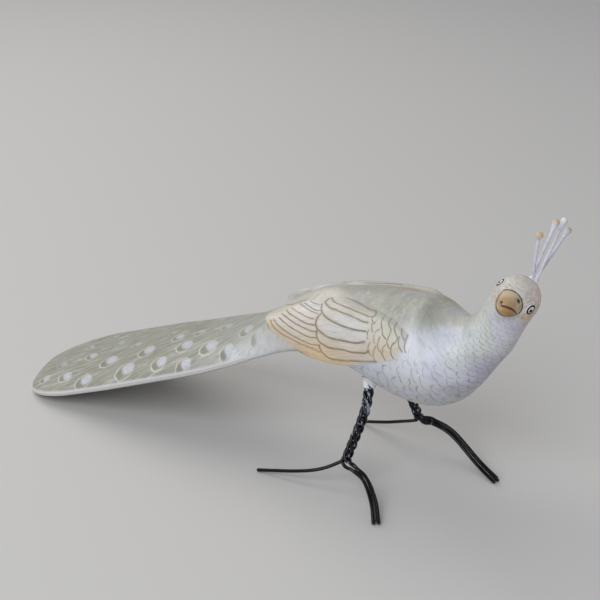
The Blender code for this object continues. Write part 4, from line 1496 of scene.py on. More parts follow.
# The small scales at the shoulder
COVERT_LINES = (
    (0.5, 0.2, (3.8, 0.827), (4.4, 0.776), (5.4, 0.74), (6.3, 0.726)),
    (0.44, 0.2, (6.2, 0.728), (6.4, 0.775), (6.9, 0.82)),
    (0.56, 0.1, (5.1, 0.708), (5.8, 0.64), (6.7, 0.578)),
    (0.44, 0.1, (4.8, 0.621), (4.6, 0.566), (4.6, 0.504), (5.3, 0.435)),
    (0.5, 0.3, (6.9, 0.386), (6.2, 0.318), (6.1, 0.249), (7.0, 0.188), (8.1, 0.136)),
    (0.5, 0.1, (9.9, 0.664), (8.8, 0.629), (8.2, 0.577), (8.2, 0.496), (8.6, 0.426), (9.2, 0.385)),
    (0.54, 0.6, (10.1, 0.331), (9.5, 0.261), (9.1, 0.183), (9.3, 0.108), (9.7, 0.052)),
    (0.5, 0.2, (8.7, 0.998), (8.8, 0.914), (9.2, 0.83), (9.9, 0.76), (11.1, 0.693), (12.1, 0.602),
     (13.3, 0.553), (14.4, 0.519)),
    (0.54, 0.45, (11.3, 0.53), (11.0, 0.467), (10.9, 0.385), (11.1, 0.327), (12.1, 0.261),
     (13.3, 0.21), (14.4, 0.121), (15.3, 0.037)),
    (0.46, 0.2, (15.0, 0.401), (14.2, 0.34), (13.8, 0.274), (14.1, 0.22)),
    (0.5, 0.2, (12.5, 0.986), (12.7, 0.904), (13.3, 0.845), (14.4, 0.799), (15.6, 0.758)),
    (0.5, 0.2, (15.8, 0.739), (15.7, 0.628), (15.4, 0.531), (15.4, 0.46), (16.3, 0.375),
     (17.4, 0.315)),
    (0.5, 0.45, (18.6, 0.473), (18.1, 0.361), (18.1, 0.258), (18.4, 0.153), (19.5, 0.041)),
    (0.52, 0.25, (15.9, 0.999), (16.3, 0.95), (16.6, 0.85), (17.3, 0.786), (18.6, 0.708),
     (20.0, 0.627)),
    (0.44, 0.2, (19.8, 0.604), (19.5, 0.505), (18.8, 0.433)),
    (0.52, 0.45, (20.5, 0.681), (20.6, 0.549), (21.2, 0.435), (22.1, 0.315), (23.2, 0.196)),
    (0.48, 0.4, (20.0, 0.933), (20.7, 0.83), (21.7, 0.73), (23.1, 0.637)),
    (0.52, 0.45, (23.7, 0.876), (23.7, 0.733), (23.6, 0.578), (23.7, 0.429), (24.1, 0.275),
     (24.9, 0.154)),
)
COVERT_BREADTH = 0.78
FINE_LINES = tuple((width * COVERT_BREADTH, *rest) for width, *rest in COVERT_LINES)
FEATHER_LINES = FLIGHT_LINES + LONG_LINES + FINE_LINES
LINE_BREADTH = 0.9
LINE_STEP = 12
# The far wing has no lines above this share
LEFT_LINES_UP_TO = 0.85


def between(values, place):
    """Rows of values read at a place counted in rows."""
    start = np.clip(np.floor(place).astype(int), 0, len(values) - 2)
    share = (place - start).reshape(-1, *[1] * (values.ndim - 1))
    return values[start] * (1 - share) + values[start + 1] * share


def on_wing(grid, along, places, shares):
    """The points of the wing's outer face at places along it and shares up it."""
    face = grid[:, :WING_OUTER_STEPS]
    ring_place = np.interp(-np.asarray(places), -along, np.arange(len(along)))
    column = np.arccos(1 - 2 * np.clip(shares, 0, 1)) / math.pi * (WING_OUTER_STEPS - 1)
    found = between(face, ring_place)
    return np.array([between(ring, np.array([spot]))[0] for ring, spot in zip(found, column)])


def line_values(grid, along):
    """Each point's distance to the nearest feather line in line widths, and that line's gold."""
    nearest = np.full(grid.shape[:2], FAR_OFF)
    gold = np.zeros(grid.shape[:2])
    for width, golden, *points in FEATHER_LINES:
        course = evenly(points, LINE_STEP * (len(points) - 1) + 1)
        line = on_wing(grid, along, course[:, 0], course[:, 1])
        far = np.full(grid.shape[:2], np.inf)
        for spot in line:
            far = np.minimum(far, ((grid - spot) ** 2).sum(axis=-1))
        far = np.sqrt(far) / (width * LINE_BREADTH)
        gold = np.where(far < nearest, golden, gold)
        nearest = np.minimum(nearest, far)
    return nearest, gold


print("Feather lines:", len(FEATHER_LINES))

# %% The wing's tones
WING_WHITE = paint(206, 205, 202)
WING_LOW = paint(214, 202, 190)
WING_PINK = paint(222, 212, 200)
WING_STRIP = paint(196, 184, 166)
WING_TOP = paint(188, 180, 156)
WING_REAR = paint(178, 173, 156)
WING_TAN = paint(226, 204, 168)
WING_GOLD = paint(236, 198, 138)
COVERT_GREEN = paint(194, 193, 177)
COVERT_TAN = paint(210, 198, 174)
FAR_WHITE = paint(216, 217, 214)
FAR_TAN = paint(206, 192, 174)
# Place along, share up the wing, reach and paint
WING_ZONES = (
    (29, 0.85, 0.9, BACK_FRONT_PAINTED_LIGHT),
    (28, 0.45, 0.7, BREAST_PAINTED_HIGHLIGHT),
    (28, 0.15, 0.7, BREAST_PAINTED_HIGHLIGHT),
    (22, 0.60, 0.7, COVERT_GREEN),
    (20, 0.25, 0.7, COVERT_TAN),
    (12, 0.75, 0.9, COVERT_GREEN),
    (14, 0.40, 1.0, COVERT_TAN),
    (10, 0.10, 0.9, WING_TAN),
    (17, 0.08, 0.6, WING_TAN),
    (-8, 0.94, 0.5, WING_TOP),
    (-2, 0.88, 0.5, WING_TOP),
    (-8, 0.80, 0.5, WING_STRIP),
    (-18, 0.78, 0.5, WING_STRIP),
    (-6, 0.62, 0.9, WING_WHITE),
    (-14, 0.45, 0.8, WING_WHITE),
    (-2, 0.42, 0.8, WING_WHITE),
    (-6, 0.26, 0.9, WING_LOW),
    (-10, 0.12, 0.8, WING_TAN),
    (-6, 0.03, 0.7, WING_GOLD),
    (-20, 0.14, 0.7, WING_TAN),
    (-22, 0.04, 0.7, WING_GOLD),
    (-30, 0.85, 0.8, WING_WHITE),
    (-36, 0.60, 1.0, WING_PINK),
    (-36, 0.38, 1.0, WING_PINK),
    (-36, 0.20, 0.7, WING_TAN),
    (-36, 0.07, 0.9, WING_GOLD),
    (-50, 0.55, 0.8, WING_PINK),
    (-52, 0.22, 0.8, WING_TAN),
    (-57, 0.40, 0.7, WING_TAN),
    (-52, 0.88, 0.5, WING_REAR),
    (-42, 0.99, 0.5, WING_REAR),
    (-28, 1.02, 0.5, WING_REAR),
    (-16, 1.05, 0.4, BACK_GREY),
    (8, 1.05, 0.5, BACK_GREY),
)
# What the far wing shows over the back
FAR_ZONES = (
    (-48, 0.80, 1.0, FAR_WHITE),
    (-36, 0.88, 1.0, FAR_WHITE),
    (-20, 0.92, 1.0, FAR_WHITE),
    (-54, 0.75, 0.5, FAR_TAN),
)
print("Wing tones:", len(WING_ZONES))

# %% The wing's brushwork
# The wing's height in millimetres, which makes its shares comparable with its length
WING_TALL = 45.0
LINE_BROWN = paint(134, 124, 108)
LINE_GOLD = paint(182, 146, 100)
BARB_INK = paint(176, 166, 148)
BARB_LIGHT = paint(222, 220, 216)
COVERTS_FROM = 4.6
COVERTS_BLEND = 1.5
# The barbs end below the upper edge, at this share over this one
BARBS_UP_TO = 0.96
BARBS_BLEND = 0.1
# The barbs' fineness along and across, their detail and their roughness
BARB = (0.10, 1.4, 3.0, 0.6)
BARB_LAYERS = (
    ("barbs", "high", 0.50, 0.66, 0.5, BARB_INK),
    ("barbs", "low", 0.34, 0.48, 0.5, BARB_LIGHT),
)
# Where a feather line ends and where the shade beside it does, in line widths
LINE_ENDS = (0.4, 0.95)
HALO_ENDS = (0.6, 2.4)
HALO_DEPTH = 0.12
LINE_RELIEF = 0.9
# How fine and how strong the raggedness of the feather lines is
FEATHER_RAGGED = (900.0, 0.5)
# How finely the brush's pressure varies, its least value and how much more it may be
PRESSURE_FINENESS = 200.0
PRESSURE_VARIES = (0.25, 0.6)
PRESSURE_LEAST = 0.65
PRESSURE_SPREAD = 0.3


def wing_finish():
    material, tree, shader = fresh_finish("painted_clay_wing", 0.42)
    far, gold, feathers = kept_parts(tree, "line")
    colour, tooth, clouds = clay_ground(tree, kept(tree, "tone").outputs["Color"])
    barbs = stretched(tree, *map_parts(tree, "feathers"), 0.0, *BARB)
    colour = brushed(tree, colour, {"barbs": barbs}, BARB_LAYERS, feathers)
    edge = far + ragged(tree, *FEATHER_RAGGED)
    line = edge.fade(*LINE_ENDS)
    pressure = noise(tree, own_place(tree), PRESSURE_FINENESS).band(*PRESSURE_VARIES)
    pressure = pressure * PRESSURE_SPREAD + PRESSURE_LEAST
    colour = mixed(tree, line * pressure, colour, mixed(tree, gold, LINE_BROWN, LINE_GOLD))
    colour = darkened(tree, colour, edge.fade(*HALO_ENDS) * HALO_DEPTH)
    finish_clay(tree, shader, colour, tooth, clouds, line * LINE_RELIEF)
    return material


print("Layers of barbs on the feathers:", len(BARB_LAYERS))


# %% Pressing the wings onto the clay
# Below this height over the clay the wing's edge is drawn down softly
EASE_HEIGHT = 1.8
# The wing keeps its edge behind this place and below this share, each over a length
EDGE_KEPT_FROM = 10.0
EDGE_KEPT_BLEND = 30.0
EDGE_KEPT_UP_TO = 0.80
EDGE_KEPT_FADE = 0.3
# Where the rims are pressed flush with the clay: the last share of the height and the front's length
FLUSH_SHARE = 0.18
FLUSH_LENGTH = 12.0
# How high the pressed rim stays above the clay, and how deep its inner face lies
FLUSH_RISE = 0.08
FLUSH_DEPTH = 0.9
# The share from each rim over which a wing's inner face runs down to the clay that it is packed onto
TUCK_SHARE = 0.08
# The near wing is packed from this share up, over this length of share, and hollow below
PACKED_FROM = 0.35
PACKED_BLEND = 0.2
# Place along where the upper rim comes off the clay again, and over what length
LEDGE_FROM = -22.0
LEDGE_BLEND = 14.0


def eased_share(share):
    """A share from 0 to 1 with a soft start and a soft end."""
    share = np.clip(share, 0, 1)
    return share * share * (3 - 2 * share)


def softened(grid, share, stations, inside, body_faces, packed):
    """The wing with its front and upper edge pressed onto the body, and how much of the wing shows."""
    keep = falling(stations, EDGE_KEPT_FROM, EDGE_KEPT_BLEND)
    keep = keep * falling(share, EDGE_KEPT_UP_TO, EDGE_KEPT_FADE)
    ledge = falling(stations, LEDGE_FROM, LEDGE_BLEND)
    keep = np.maximum(keep, ledge)
    off_front = eased_share((WING_STATIONS[0][0] - stations) / FLUSH_LENGTH)
    flush = np.maximum(eased_share((1 - share) / FLUSH_SHARE) * off_front, eased_share(ledge))
    tuck = eased_share(np.minimum(share, 1 - share) / TUCK_SHARE) * inside * packed
    eased, shown = grid.copy(), np.ones(grid.shape[:2])
    for ring, column in np.ndindex(grid.shape[:2]):
        spot = Vector(grid[ring, column])
        near, normal, _, far = body_faces.find_nearest(spot)
        height = (spot - near).dot(normal)
        shown[ring, column] = min(max(height / EASE_HEIGHT, 0), 1)
        if height <= 0:
            continue
        low = height
        if height < EASE_HEIGHT and inside[ring, column] < 0.5:
            low = height**2 / EASE_HEIGHT
            low = low + (height - low) * keep[ring, column]
        press = 1 - flush[ring, column]
        rest = -FLUSH_DEPTH if inside[ring, column] else FLUSH_RISE
        low = low * (1 - press) + rest * press
        low = low * (1 - tuck[ring, column]) - FLUSH_DEPTH * tuck[ring, column]
        eased[ring, column] = near + normal * low
    return eased, np.maximum(shown, keep) * flush


print("The upper rims lie within", FLUSH_RISE, "mm of the clay")


# %% The wings
def make_wing(name, side, finish):
    grid, stations, share, inside = wing_grid(side)
    packed = 1.0 if side > 0 else eased_share((share - PACKED_FROM) / PACKED_BLEND)
    grid, shown = softened(grid, share, stations, inside, body_faces, packed)
    along = stations[:, 0]
    lines, gold = line_values(grid, along)
    if side > 0:
        lines = np.where(share > LEFT_LINES_UP_TO, FAR_OFF, lines)
    pattern = np.stack([stations, share * WING_TALL, 0 * share], axis=-1)
    spots = WING_ZONES + (FAR_ZONES if side > 0 else ())
    zones = [(place, up_share * WING_TALL, 0, reach, tone) for place, up_share, reach, tone in spots]
    feathers = falling(stations, COVERTS_FROM, COVERTS_BLEND) * (1 - inside)
    feathers = feathers * falling(share, BARBS_UP_TO, BARBS_BLEND)
    shown = shown[..., None]
    tone = toned(pattern, zones) * shown + toned(grid, BODY_ZONES) * (1 - shown)
    closed = np.concatenate([pattern, pattern[:, :1]], axis=1)[..., :2]
    values = np.stack([lines, gold, feathers], axis=-1)
    wing_values = {
        "tone": with_poles(tone, tone[0].mean(axis=0), tone[-1].mean(axis=0)),
        "line": with_poles(values, (FAR_OFF, 0, 0), (FAR_OFF, 0, 0)),
    }
    return painted_piece(name, grid, end_middles(grid), finish, wing_values, {"feathers": closed})


wing_paint = wing_finish()
wings = [make_wing("wing_right", -1, wing_paint), make_wing("wing_left", 1, wing_paint)]

# %% [markdown]
# The beak
#
# The beak is a blunt cone of clay pressed onto the face and painted tan, with a thin dark line
# round its foot. The mouth is a shallow groove pressed into the clay, and each nostril a small pit.
# Both are real dents in the mesh, and the paint darkens them by the same distances.

# %% The beak's marks
# All in millimetres forward, left and up from the head's middle
MOUTH = (
    (17.1, -1.9, -0.3),
    (17.04, -1.39, -0.07),
    (16.93, -0.69, 0.35),
    (16.57, 0.46, 0.82),
    (15.95, 1.65, 1.11),
    (15.0, 2.88, 1.17),
    (13.92, 4.04, 0.75),
    (12.3, 4.9, 0.0),
    (10.27, 5.47, -0.91),
)
NOSTRILS = ((16.13, -2.87, 0.47), (11.02, 2.15, 4.55))
NOSTRIL_SIZES = (1.0, 1.5)
# The outline leaves the beak's foot below and runs forward along its lower edge
LIP = (
    (9.4, -6.2, 1.5),
    (10.8, -5.9, 1.4),
    (12.9, -5.6, 0.1),
    (14.9, -4.5, -1.7),
    (16.9, -2.5, -2.8),
    (17.3, -0.3, -3.4),
    (17.1, 0.6, -3.4),
    (16.0, 2.4, -2.9),
    (13.5, 4.4, -2.0),
    (9.8, 5.6, -0.8),
)
# Between these angles round the beak, in degrees from its left side, the foot has no outline
LIP_FROM = 168.0
LIP_TO = 352.0
MOUTH_WIDTH = 0.42
MOUTH_DEPTH = 0.35
NOSTRIL_RADIUS = 0.8
NOSTRIL_DEPTH = 0.45
FOOT_LINE = 0.34
# How many spots of a course stand for each of its points
MOUTH_STEPS = 12
LIP_STEPS = 16
# The dents are pressed towards this place, and the foot line is looked for this near the head's middle
BEAK_HEART = (4.0, 0.0, 0.0)
NEAR_HEAD = 16.0


def line_distance(points, course):
    """How far each point lies from the nearest spot of a course."""
    far = np.full(points.shape[:-1], np.inf)
    for spot in course:
        far = np.minimum(far, np.linalg.norm(points - spot, axis=-1))
    return far


def dent(far, width, depth):
    """The depth pressed into clay at a distance from a tool's middle."""
    return depth * np.exp(-((far / width) ** 2))


beak_points = beak_grid()
beak_own = head_place(beak_points)
mouth_course = evenly(MOUTH, MOUTH_STEPS * len(MOUTH))
lip_course = evenly(LIP, LIP_STEPS * len(LIP))
mouth_far = line_distance(beak_own, mouth_course)
nostril_fars = []
for spot, size in zip(NOSTRILS, NOSTRIL_SIZES):
    nostril_fars.append(line_distance(beak_own, [np.array(spot)]) / size)
nostril_far = np.minimum(*nostril_fars)
inward = BEAK_HEART - beak_own
inward = inward / np.linalg.norm(inward, axis=-1, keepdims=True)
pressed = dent(mouth_far, MOUTH_WIDTH, MOUTH_DEPTH) + dent(nostril_far, NOSTRIL_RADIUS, NOSTRIL_DEPTH)
beak_dented = beak_own + inward * pressed[..., None]
beak_shape = HEAD_MIDDLE + beak_dented @ np.stack([forward, left, up])
print("Deepest dent in the beak:", pressed.max().round(2), "mm")


# %% The beak's foot line
def outlined(own, far):
    """The distance to the outline's upper part, which keeps to the beak's foot."""
    turn = np.degrees(np.arctan2(own[..., 2], own[..., 1] - BEAK_ASIDE)) % 360
    return np.where((turn < LIP_FROM) | (turn > LIP_TO), far, FAR_OFF)


beak_foot = outlined(beak_own, surface_distance(beak_points, body_faces))
beak_foot = np.minimum(beak_foot, line_distance(beak_own, lip_course))
near_head = head_far < NEAR_HEAD
body_foot = np.full(body_points.shape[:2], FAR_OFF)
body_foot[near_head] = surface_distance(body_points[near_head], tree_of(beak_points))
body_foot = outlined(head_place(body_points), body_foot)
below_mouth = np.interp(beak_own[..., 1], mouth_course[:, 1], mouth_course[:, 2]) - beak_own[..., 2]
print("The foot line crosses", (beak_foot < FOOT_LINE).sum(), "points of the beak")

# %% The beak's finish
BEAK_TAN = paint(173, 139, 101)
BEAK_OLIVE = paint(152, 132, 96)
BEAK_PALE = paint(200, 180, 150)
BEAK_PAD = paint(172, 126, 72)
BEAK_DARK = paint(34, 24, 18)
MOUTH_BROWN = paint(86, 52, 24)
SMUDGE_FINENESS = 260.0
BEAK_SMUDGE = (("smudge", "high", 0.44, 0.66, 0.6, BEAK_OLIVE),)
# The tan deepens from the face to the tip, between these reaches
TAN_FROM_TO = (11.0, 15.5)
# Below the mouth, in millimetres under it and across the beak: the pad, the pale corner beside it and
# the pale chin, each with where it comes in and goes out and how strongly it covers
PAD = ((0.3, 1.0), (2.6, 3.8), (-2.6, -0.6), 0.85)
CORNER = ((0.5, 1.6), (-3.0, -0.6), 0.8)
CHIN = ((3.0, 4.2), 0.7)
# The mouth's brown is thicker between these places across the beak, by this much
THICK_IN = (-2.0, -0.6)
THICK_OUT = (1.5, 4.5)
MOUTH_THICKER = 0.22
# Where the mouth, the nostrils and the foot's outline end, and how strongly the first two cover
MOUTH_ENDS = (0.12, 0.6)
MOUTH_STRENGTH = 0.95
NOSTRIL_ENDS = (0.45, 1.05)
NOSTRIL_STRENGTH = 0.92
OUTLINE_ENDS = (0.18, 0.46)


def lower_beak(tree, colour, below, aside):
    """The tan pad under the mouth, the pale corner beside it and the pale chin below both."""
    top, bottom, left_of, strength = PAD
    pad = below.band(*top) * below.fade(*bottom) * aside.band(*left_of)
    colour = mixed(tree, pad * strength, colour, BEAK_PAD)
    top, right_of, strength = CORNER
    colour = mixed(tree, below.band(*top) * aside.fade(*right_of) * strength, colour, BEAK_PALE)
    top, strength = CHIN
    return mixed(tree, below.band(*top) * strength, colour, BEAK_PALE)


def beak_finish():
    material, tree, shader = fresh_finish("painted_clay_beak", 0.38)
    mouth, nostril, below = kept_parts(tree, "marks")
    foot, reach, aside = kept_parts(tree, "foot")
    smudge = speckled(tree, SMUDGE_FINENESS)
    colour = mixed(tree, reach.band(*TAN_FROM_TO), BEAK_PALE, BEAK_TAN)
    colour = brushed(tree, colour, {"smudge": smudge}, BEAK_SMUDGE)
    colour, tooth, clouds = clay_ground(tree, lower_beak(tree, colour, below, aside))
    waver = ragged(tree, LINE_FINENESS, LINE_RAGGED)
    thick = aside.band(*THICK_IN) * aside.fade(*THICK_OUT) * MOUTH_THICKER
    lips = (mouth + waver - thick).fade(*MOUTH_ENDS) * MOUTH_STRENGTH
    colour = mixed(tree, lips, colour, mixed(tree, thick * 4.0, BEAK_DARK, MOUTH_BROWN))
    colour = mixed(tree, (nostril + waver).fade(*NOSTRIL_ENDS) * NOSTRIL_STRENGTH, colour, BEAK_DARK)
    colour = mixed(tree, (foot + waver).fade(*OUTLINE_ENDS), colour, FOOT_INK)
    finish_clay(tree, shader, colour, tooth, clouds)
    return material


marks = np.stack([mouth_far, nostril_far, below_mouth], axis=-1)
foot = np.stack([beak_foot, beak_own[..., 0], beak_own[..., 1]], axis=-1)
beak_values = {
    "marks": with_poles(marks, (FAR_OFF, FAR_OFF, 0), (FAR_OFF, FAR_OFF, 1)),
    "foot": with_poles(foot, (FAR_OFF, 0, 0), (FAR_OFF, BEAK_STATIONS[-1][0], 0)),
}
beak = painted_piece("beak", beak_shape, end_middles(beak_shape), beak_finish(), beak_values)
keep_values(body_skin.data, {"beak_foot": with_poles(body_foot, FAR_OFF, FAR_OFF)})

# %% [markdown]
# The eyes
#
# Each eye is a low dome with a glossy painted look: a black ring, a cream ring, a black pupil set
# low and to the back, and a white glint. The dome keeps its own two coordinates, so the rings are
# circles of a formula.

# %% The eyes' domes and paint
EYE_RINGS = 40
EYE_AROUND = 72
# How much of each dome the painted eye fills
EYE_FILLS = {1: 0.88, -1: 0.82}
EYE_INK = paint(8, 7, 7)
EYE_CREAM = paint(226, 220, 206)
EYE_GLINT = paint(240, 240, 238)
# The slope of the ring next to the dome's top
EYE_FIRST_SLOPE = 0.03
# In shares of the painted eye: where the outer ring starts and ends, and the middle and the edge of
# the pupil and of the glint
RING_STARTS = (0.64, 0.71)
RING_ENDS = (0.98, 1.04)
PUPIL = ((-0.08, -0.08), (0.42, 0.49))
GLINT = ((-0.02, 0.20), (0.12, 0.2))
EYE_SPECULAR = 0.25
EYE_RIPPLE = 0.00004


def eye_dome(side):
    """A low dome sunk in the head, with its own coordinates from -1 to 1 across the ring."""
    hinge, high, outward_way = eye_axes(side)
    middle = HEAD_MIDDLE + outward_way * HEAD_RADIUS
    slope = np.linspace(EYE_FIRST_SLOPE, math.pi * 0.5, EYE_RINGS)
    spread, turn = np.meshgrid(np.sin(slope), full_turn(EYE_AROUND), indexing="ij")
    lift = np.cos(slope)[:, None] * EYE_BULGE
    ahead, above = spread * np.cos(turn), spread * np.sin(turn)
    across_eye, up_eye = ahead * EYE_RADIUS, above * EYE_RADIUS * EYE_HEIGHT_RATIO
    sag = HEAD_RADIUS - np.sqrt(HEAD_RADIUS**2 - np.hypot(across_eye, up_eye) ** 2)
    points = middle + across_eye[..., None] * hinge
    points = points + up_eye[..., None] * high
    points = points + (lift - sag)[..., None] * outward_way
    grid = np.concatenate([points, (points[-1] - EYE_SINK * outward_way)[None]])
    own = np.stack([ahead / EYE_FILLS[side], above / EYE_FILLS[side], side + 0 * ahead], axis=-1)
    own = np.concatenate([own, own[-1:]])
    poles = np.array([middle + EYE_BULGE * outward_way, middle - EYE_SINK * outward_way * 2])
    return grid, own, poles


def eye_finish():
    material, tree, shader = fresh_finish("painted_eye", 0.35)
    shader.inputs["Specular IOR Level"].default_value = EYE_SPECULAR
    ahead, above, side = kept_parts(tree, "eye")
    far = length(ahead, above)
    colour = mixed(tree, far.band(*RING_STARTS), EYE_CREAM, EYE_INK)
    colour = mixed(tree, far.band(*RING_ENDS), colour, CHEEK_GREY)
    for ((place, height), ends), tone in ((PUPIL, EYE_INK), (GLINT, EYE_GLINT)):
        mark = length(ahead * side - place, above - height)
        colour = mixed(tree, mark.fade(*ends), colour, tone)
    tree.links.new(colour, shader.inputs["Base Color"])
    raised(tree, shader, noise(tree, own_place(tree), 700.0), EYE_RIPPLE)
    return material


eye_paint = eye_finish()
eyes = []
for name, side in (("eye_right", -1), ("eye_left", 1)):
    grid, own, poles = eye_dome(side)
    values = {"eye": with_poles(own, (0, 0, side), (0, 0, side))}
    eyes.append(painted_piece(name, grid, poles, eye_paint, values))

# %% [markdown]
# Round wires from a node tree
#
# All twelve wires are the same thing: a thick wire, bent by hand and dipped in paint, with slightly
# rounded cut ends and small dents. So one Geometry Nodes tree makes any of them from a bare line of
# points. Its inputs are the wire's diameter, how many sides it has, and how deep and how long its
# dents are.

# %% The round wire tree
# The least share of the radius at a wire's rounded ends, before its root
END_LEAST = 0.02
WIRE_INPUTS = (
    ("Diameter", "NodeSocketFloat"),
    ("Sides", "NodeSocketInt"),
    ("Step", "NodeSocketFloat"),
    ("Dent depth", "NodeSocketFloat"),
    ("Dent length", "NodeSocketFloat"),
    ("Seed", "NodeSocketFloat"),
    ("Finish", "NodeSocketMaterial"),
)


def new_tree(name, inputs):
    """An empty Geometry Nodes tree with a geometry in and out, and the named inputs."""
    tree = bpy.data.node_groups.new(name, "GeometryNodeTree")
    tree.interface.new_socket("Geometry", in_out="INPUT", socket_type="NodeSocketGeometry")
    for label, kind in inputs:
        tree.interface.new_socket(label, in_out="INPUT", socket_type=kind)
    tree.interface.new_socket("Geometry", in_out="OUTPUT", socket_type="NodeSocketGeometry")
    return tree


def step(tree, kind, inputs=None, **settings):
    """The first output of a new node, with its settings and its inputs by name or number."""
    made = tree.nodes.new(kind)
    for key, value in settings.items():
        setattr(made, key, value)
    for key, value in (inputs or {}).items():
        if isinstance(key, int) or key in made.inputs:
            join(tree, value, made.inputs[key])
    return made.outputs[0]


def round_wire_tree():
    tree = new_tree("round wire", WIRE_INPUTS)
    given = tree.nodes.new("NodeGroupInput").outputs
    course = step(tree, "GeometryNodeMeshToCurve", {"Mesh": given["Geometry"]})
    even = {"Curve": course, "Length": given["Step"]}
    even = step(tree, "GeometryNodeResampleCurve", even, mode="LENGTH")
    along = Value(tree, tree.nodes.new("GeometryNodeSplineParameter").outputs["Length"])
    whole = Value(tree, tree.nodes.new("GeometryNodeSplineLength").outputs["Length"])
    half = Value(tree, given["Diameter"]) * 0.5
    near = (along.then("MINIMUM", whole - along) / half).then("MINIMUM", 1.0).opposite()
    rounding = (near * near).opposite().then("MAXIMUM", END_LEAST).then("SQRT")
    sized = step(tree, "GeometryNodeSetCurveRadius", {"Curve": even, "Radius": rounding})
    circle = {"Resolution": given["Sides"], "Radius": half}
    circle = step(tree, "GeometryNodeCurvePrimitiveCircle", circle)
    radius = step(tree, "GeometryNodeInputRadius")
    tube = {"Curve": sized, "Profile Curve": circle, "Fill Caps": True, "Scale": radius}
    tube = step(tree, "GeometryNodeCurveToMesh", tube)
    fineness = step(tree, "ShaderNodeMath", {0: 1.0, 1: given["Dent length"]}, operation="DIVIDE")
    here = step(tree, "GeometryNodeInputPosition")
    pattern = {"Vector": here, "W": given["Seed"], "Scale": fineness}
    pattern = step(tree, "ShaderNodeTexNoise", pattern, noise_dimensions="4D")
    push = (Value(tree, pattern) - 0.5) * Value(tree, given["Dent depth"])
    offset = {0: step(tree, "GeometryNodeInputNormal"), "Scale": push}
    offset = step(tree, "ShaderNodeVectorMath", offset, operation="SCALE")
    dented = step(tree, "GeometryNodeSetPosition", {"Geometry": tube, "Offset": offset})
    smoothed = step(tree, "GeometryNodeSetShadeSmooth", {"Geometry": dented})
    real = step(tree, "GeometryNodeRealizeInstances", {"Geometry": smoothed})
    painted = {"Geometry": real, "Material": given["Finish"]}
    painted = step(tree, "GeometryNodeSetMaterial", painted)
    tree.links.new(painted, tree.nodes.new("NodeGroupOutput").inputs[0])
    return tree


wire_tree = round_wire_tree()
print("The wire tree has", len(wire_tree.nodes), "nodes")

# %% From a line of points to a plain mesh
def bare_line(name, points):
    """A mesh of edges through the points."""
    mesh = bpy.data.meshes.new(name)
    mesh.from_pydata(points.tolist(), [(k, k + 1) for k in range(len(points) - 1)], [])
    return linked(name, mesh)


def grown(piece, tree, values):
    """The piece as its node tree makes it, as a plain mesh with no modifier left."""
    grow = piece.modifiers.new("grow", "NODES")
    grow.node_group = tree
    for item in tree.interface.items_tree:
        if item.item_type == "SOCKET" and item.in_out == "INPUT" and item.name in values:
            grow[item.identifier] = values[item.name]
    graph = bpy.context.evaluated_depsgraph_get()
    mesh = bpy.data.meshes.new_from_object(piece.evaluated_get(graph))
    piece.modifiers.remove(grow)
    bare = piece.data
    piece.data = mesh
    bpy.data.meshes.remove(bare)
    mesh.name = piece.name
    return piece


# %% [markdown]
# Black enamel
#
# The leg wires are dipped in glossy black. Near the clay the white body paint has run onto them and
# rubbed off again in flakes, which thin out down the leg. Their blue-grey is partly a painted sheen.

# %% The black enamel
ENAMEL = paint(5, 5, 7)
ENAMEL_WORN = paint(20, 21, 26)
FLAKE_AND_SHEEN_TINT = paint(156, 160, 174)
# The flakes and the painted sheen thicken between these heights, in metres, and are drawn out along the leg
# by this much
FLAKES_AND_SHEEN_RISE = (0.010, 0.056)
FLAKES_AND_SHEEN_DRAWN_OUT = 0.4
FLAKES_AND_SHEEN_MORE = 0.11
FLAKE_AND_SHEEN_FINENESS = 420.0
LUMP_FINENESS = 260.0
FLAKE_AND_SHEEN_EDGE = (0.62, 0.68)
WORN_EDGE = (0.56, 0.74)
FLAKE_AND_SHEEN_STRENGTH = 0.85
ENAMEL_GLEAM = 0.3
ENAMEL_COAT = 0.06
ENAMEL_BUMP = 0.00025
PLUME_WHITE = paint(216, 214, 224)
PLUME_WORN = paint(186, 184, 190)
PLUME_FINENESS = 500.0
PLUME_BUMP = 0.00012


def enamel_finish():
    material, tree, shader = fresh_finish("black_enamel", 0.2, ENAMEL_COAT)
    shader.inputs["Specular IOR Level"].default_value = ENAMEL_GLEAM
    x, y, height = split(tree, own_place(tree))
    worn = speckled(tree, FLAKE_AND_SHEEN_FINENESS)
    drawn_out = combined(tree, x, y, height * FLAKES_AND_SHEEN_DRAWN_OUT)
    flake_and_sheen_pattern = noise(tree, drawn_out, FLAKE_AND_SHEEN_FINENESS, 4.0, 0.6)
    amount = height.band(*FLAKES_AND_SHEEN_RISE)
    # Flakes of white paint, in a blue-grey that is partly a painted sheen on the wires
    flake_and_sheen = (flake_and_sheen_pattern + amount * FLAKES_AND_SHEEN_MORE).band(*FLAKE_AND_SHEEN_EDGE) * amount.band(0.0, 0.1)
    colour = mixed(tree, worn.band(*WORN_EDGE), ENAMEL, ENAMEL_WORN)
    colour = mixed(tree, flake_and_sheen * FLAKE_AND_SHEEN_STRENGTH, colour, FLAKE_AND_SHEEN_TINT)
    tree.links.new(colour, shader.inputs["Base Color"])
    join(tree, worn * 0.12 + flake_and_sheen * 0.3 + 0.06, shader.inputs["Roughness"])
    raised(tree, shader, speckled(tree, LUMP_FINENESS) * 0.6 + flake_and_sheen * 0.3, ENAMEL_BUMP)
    return material


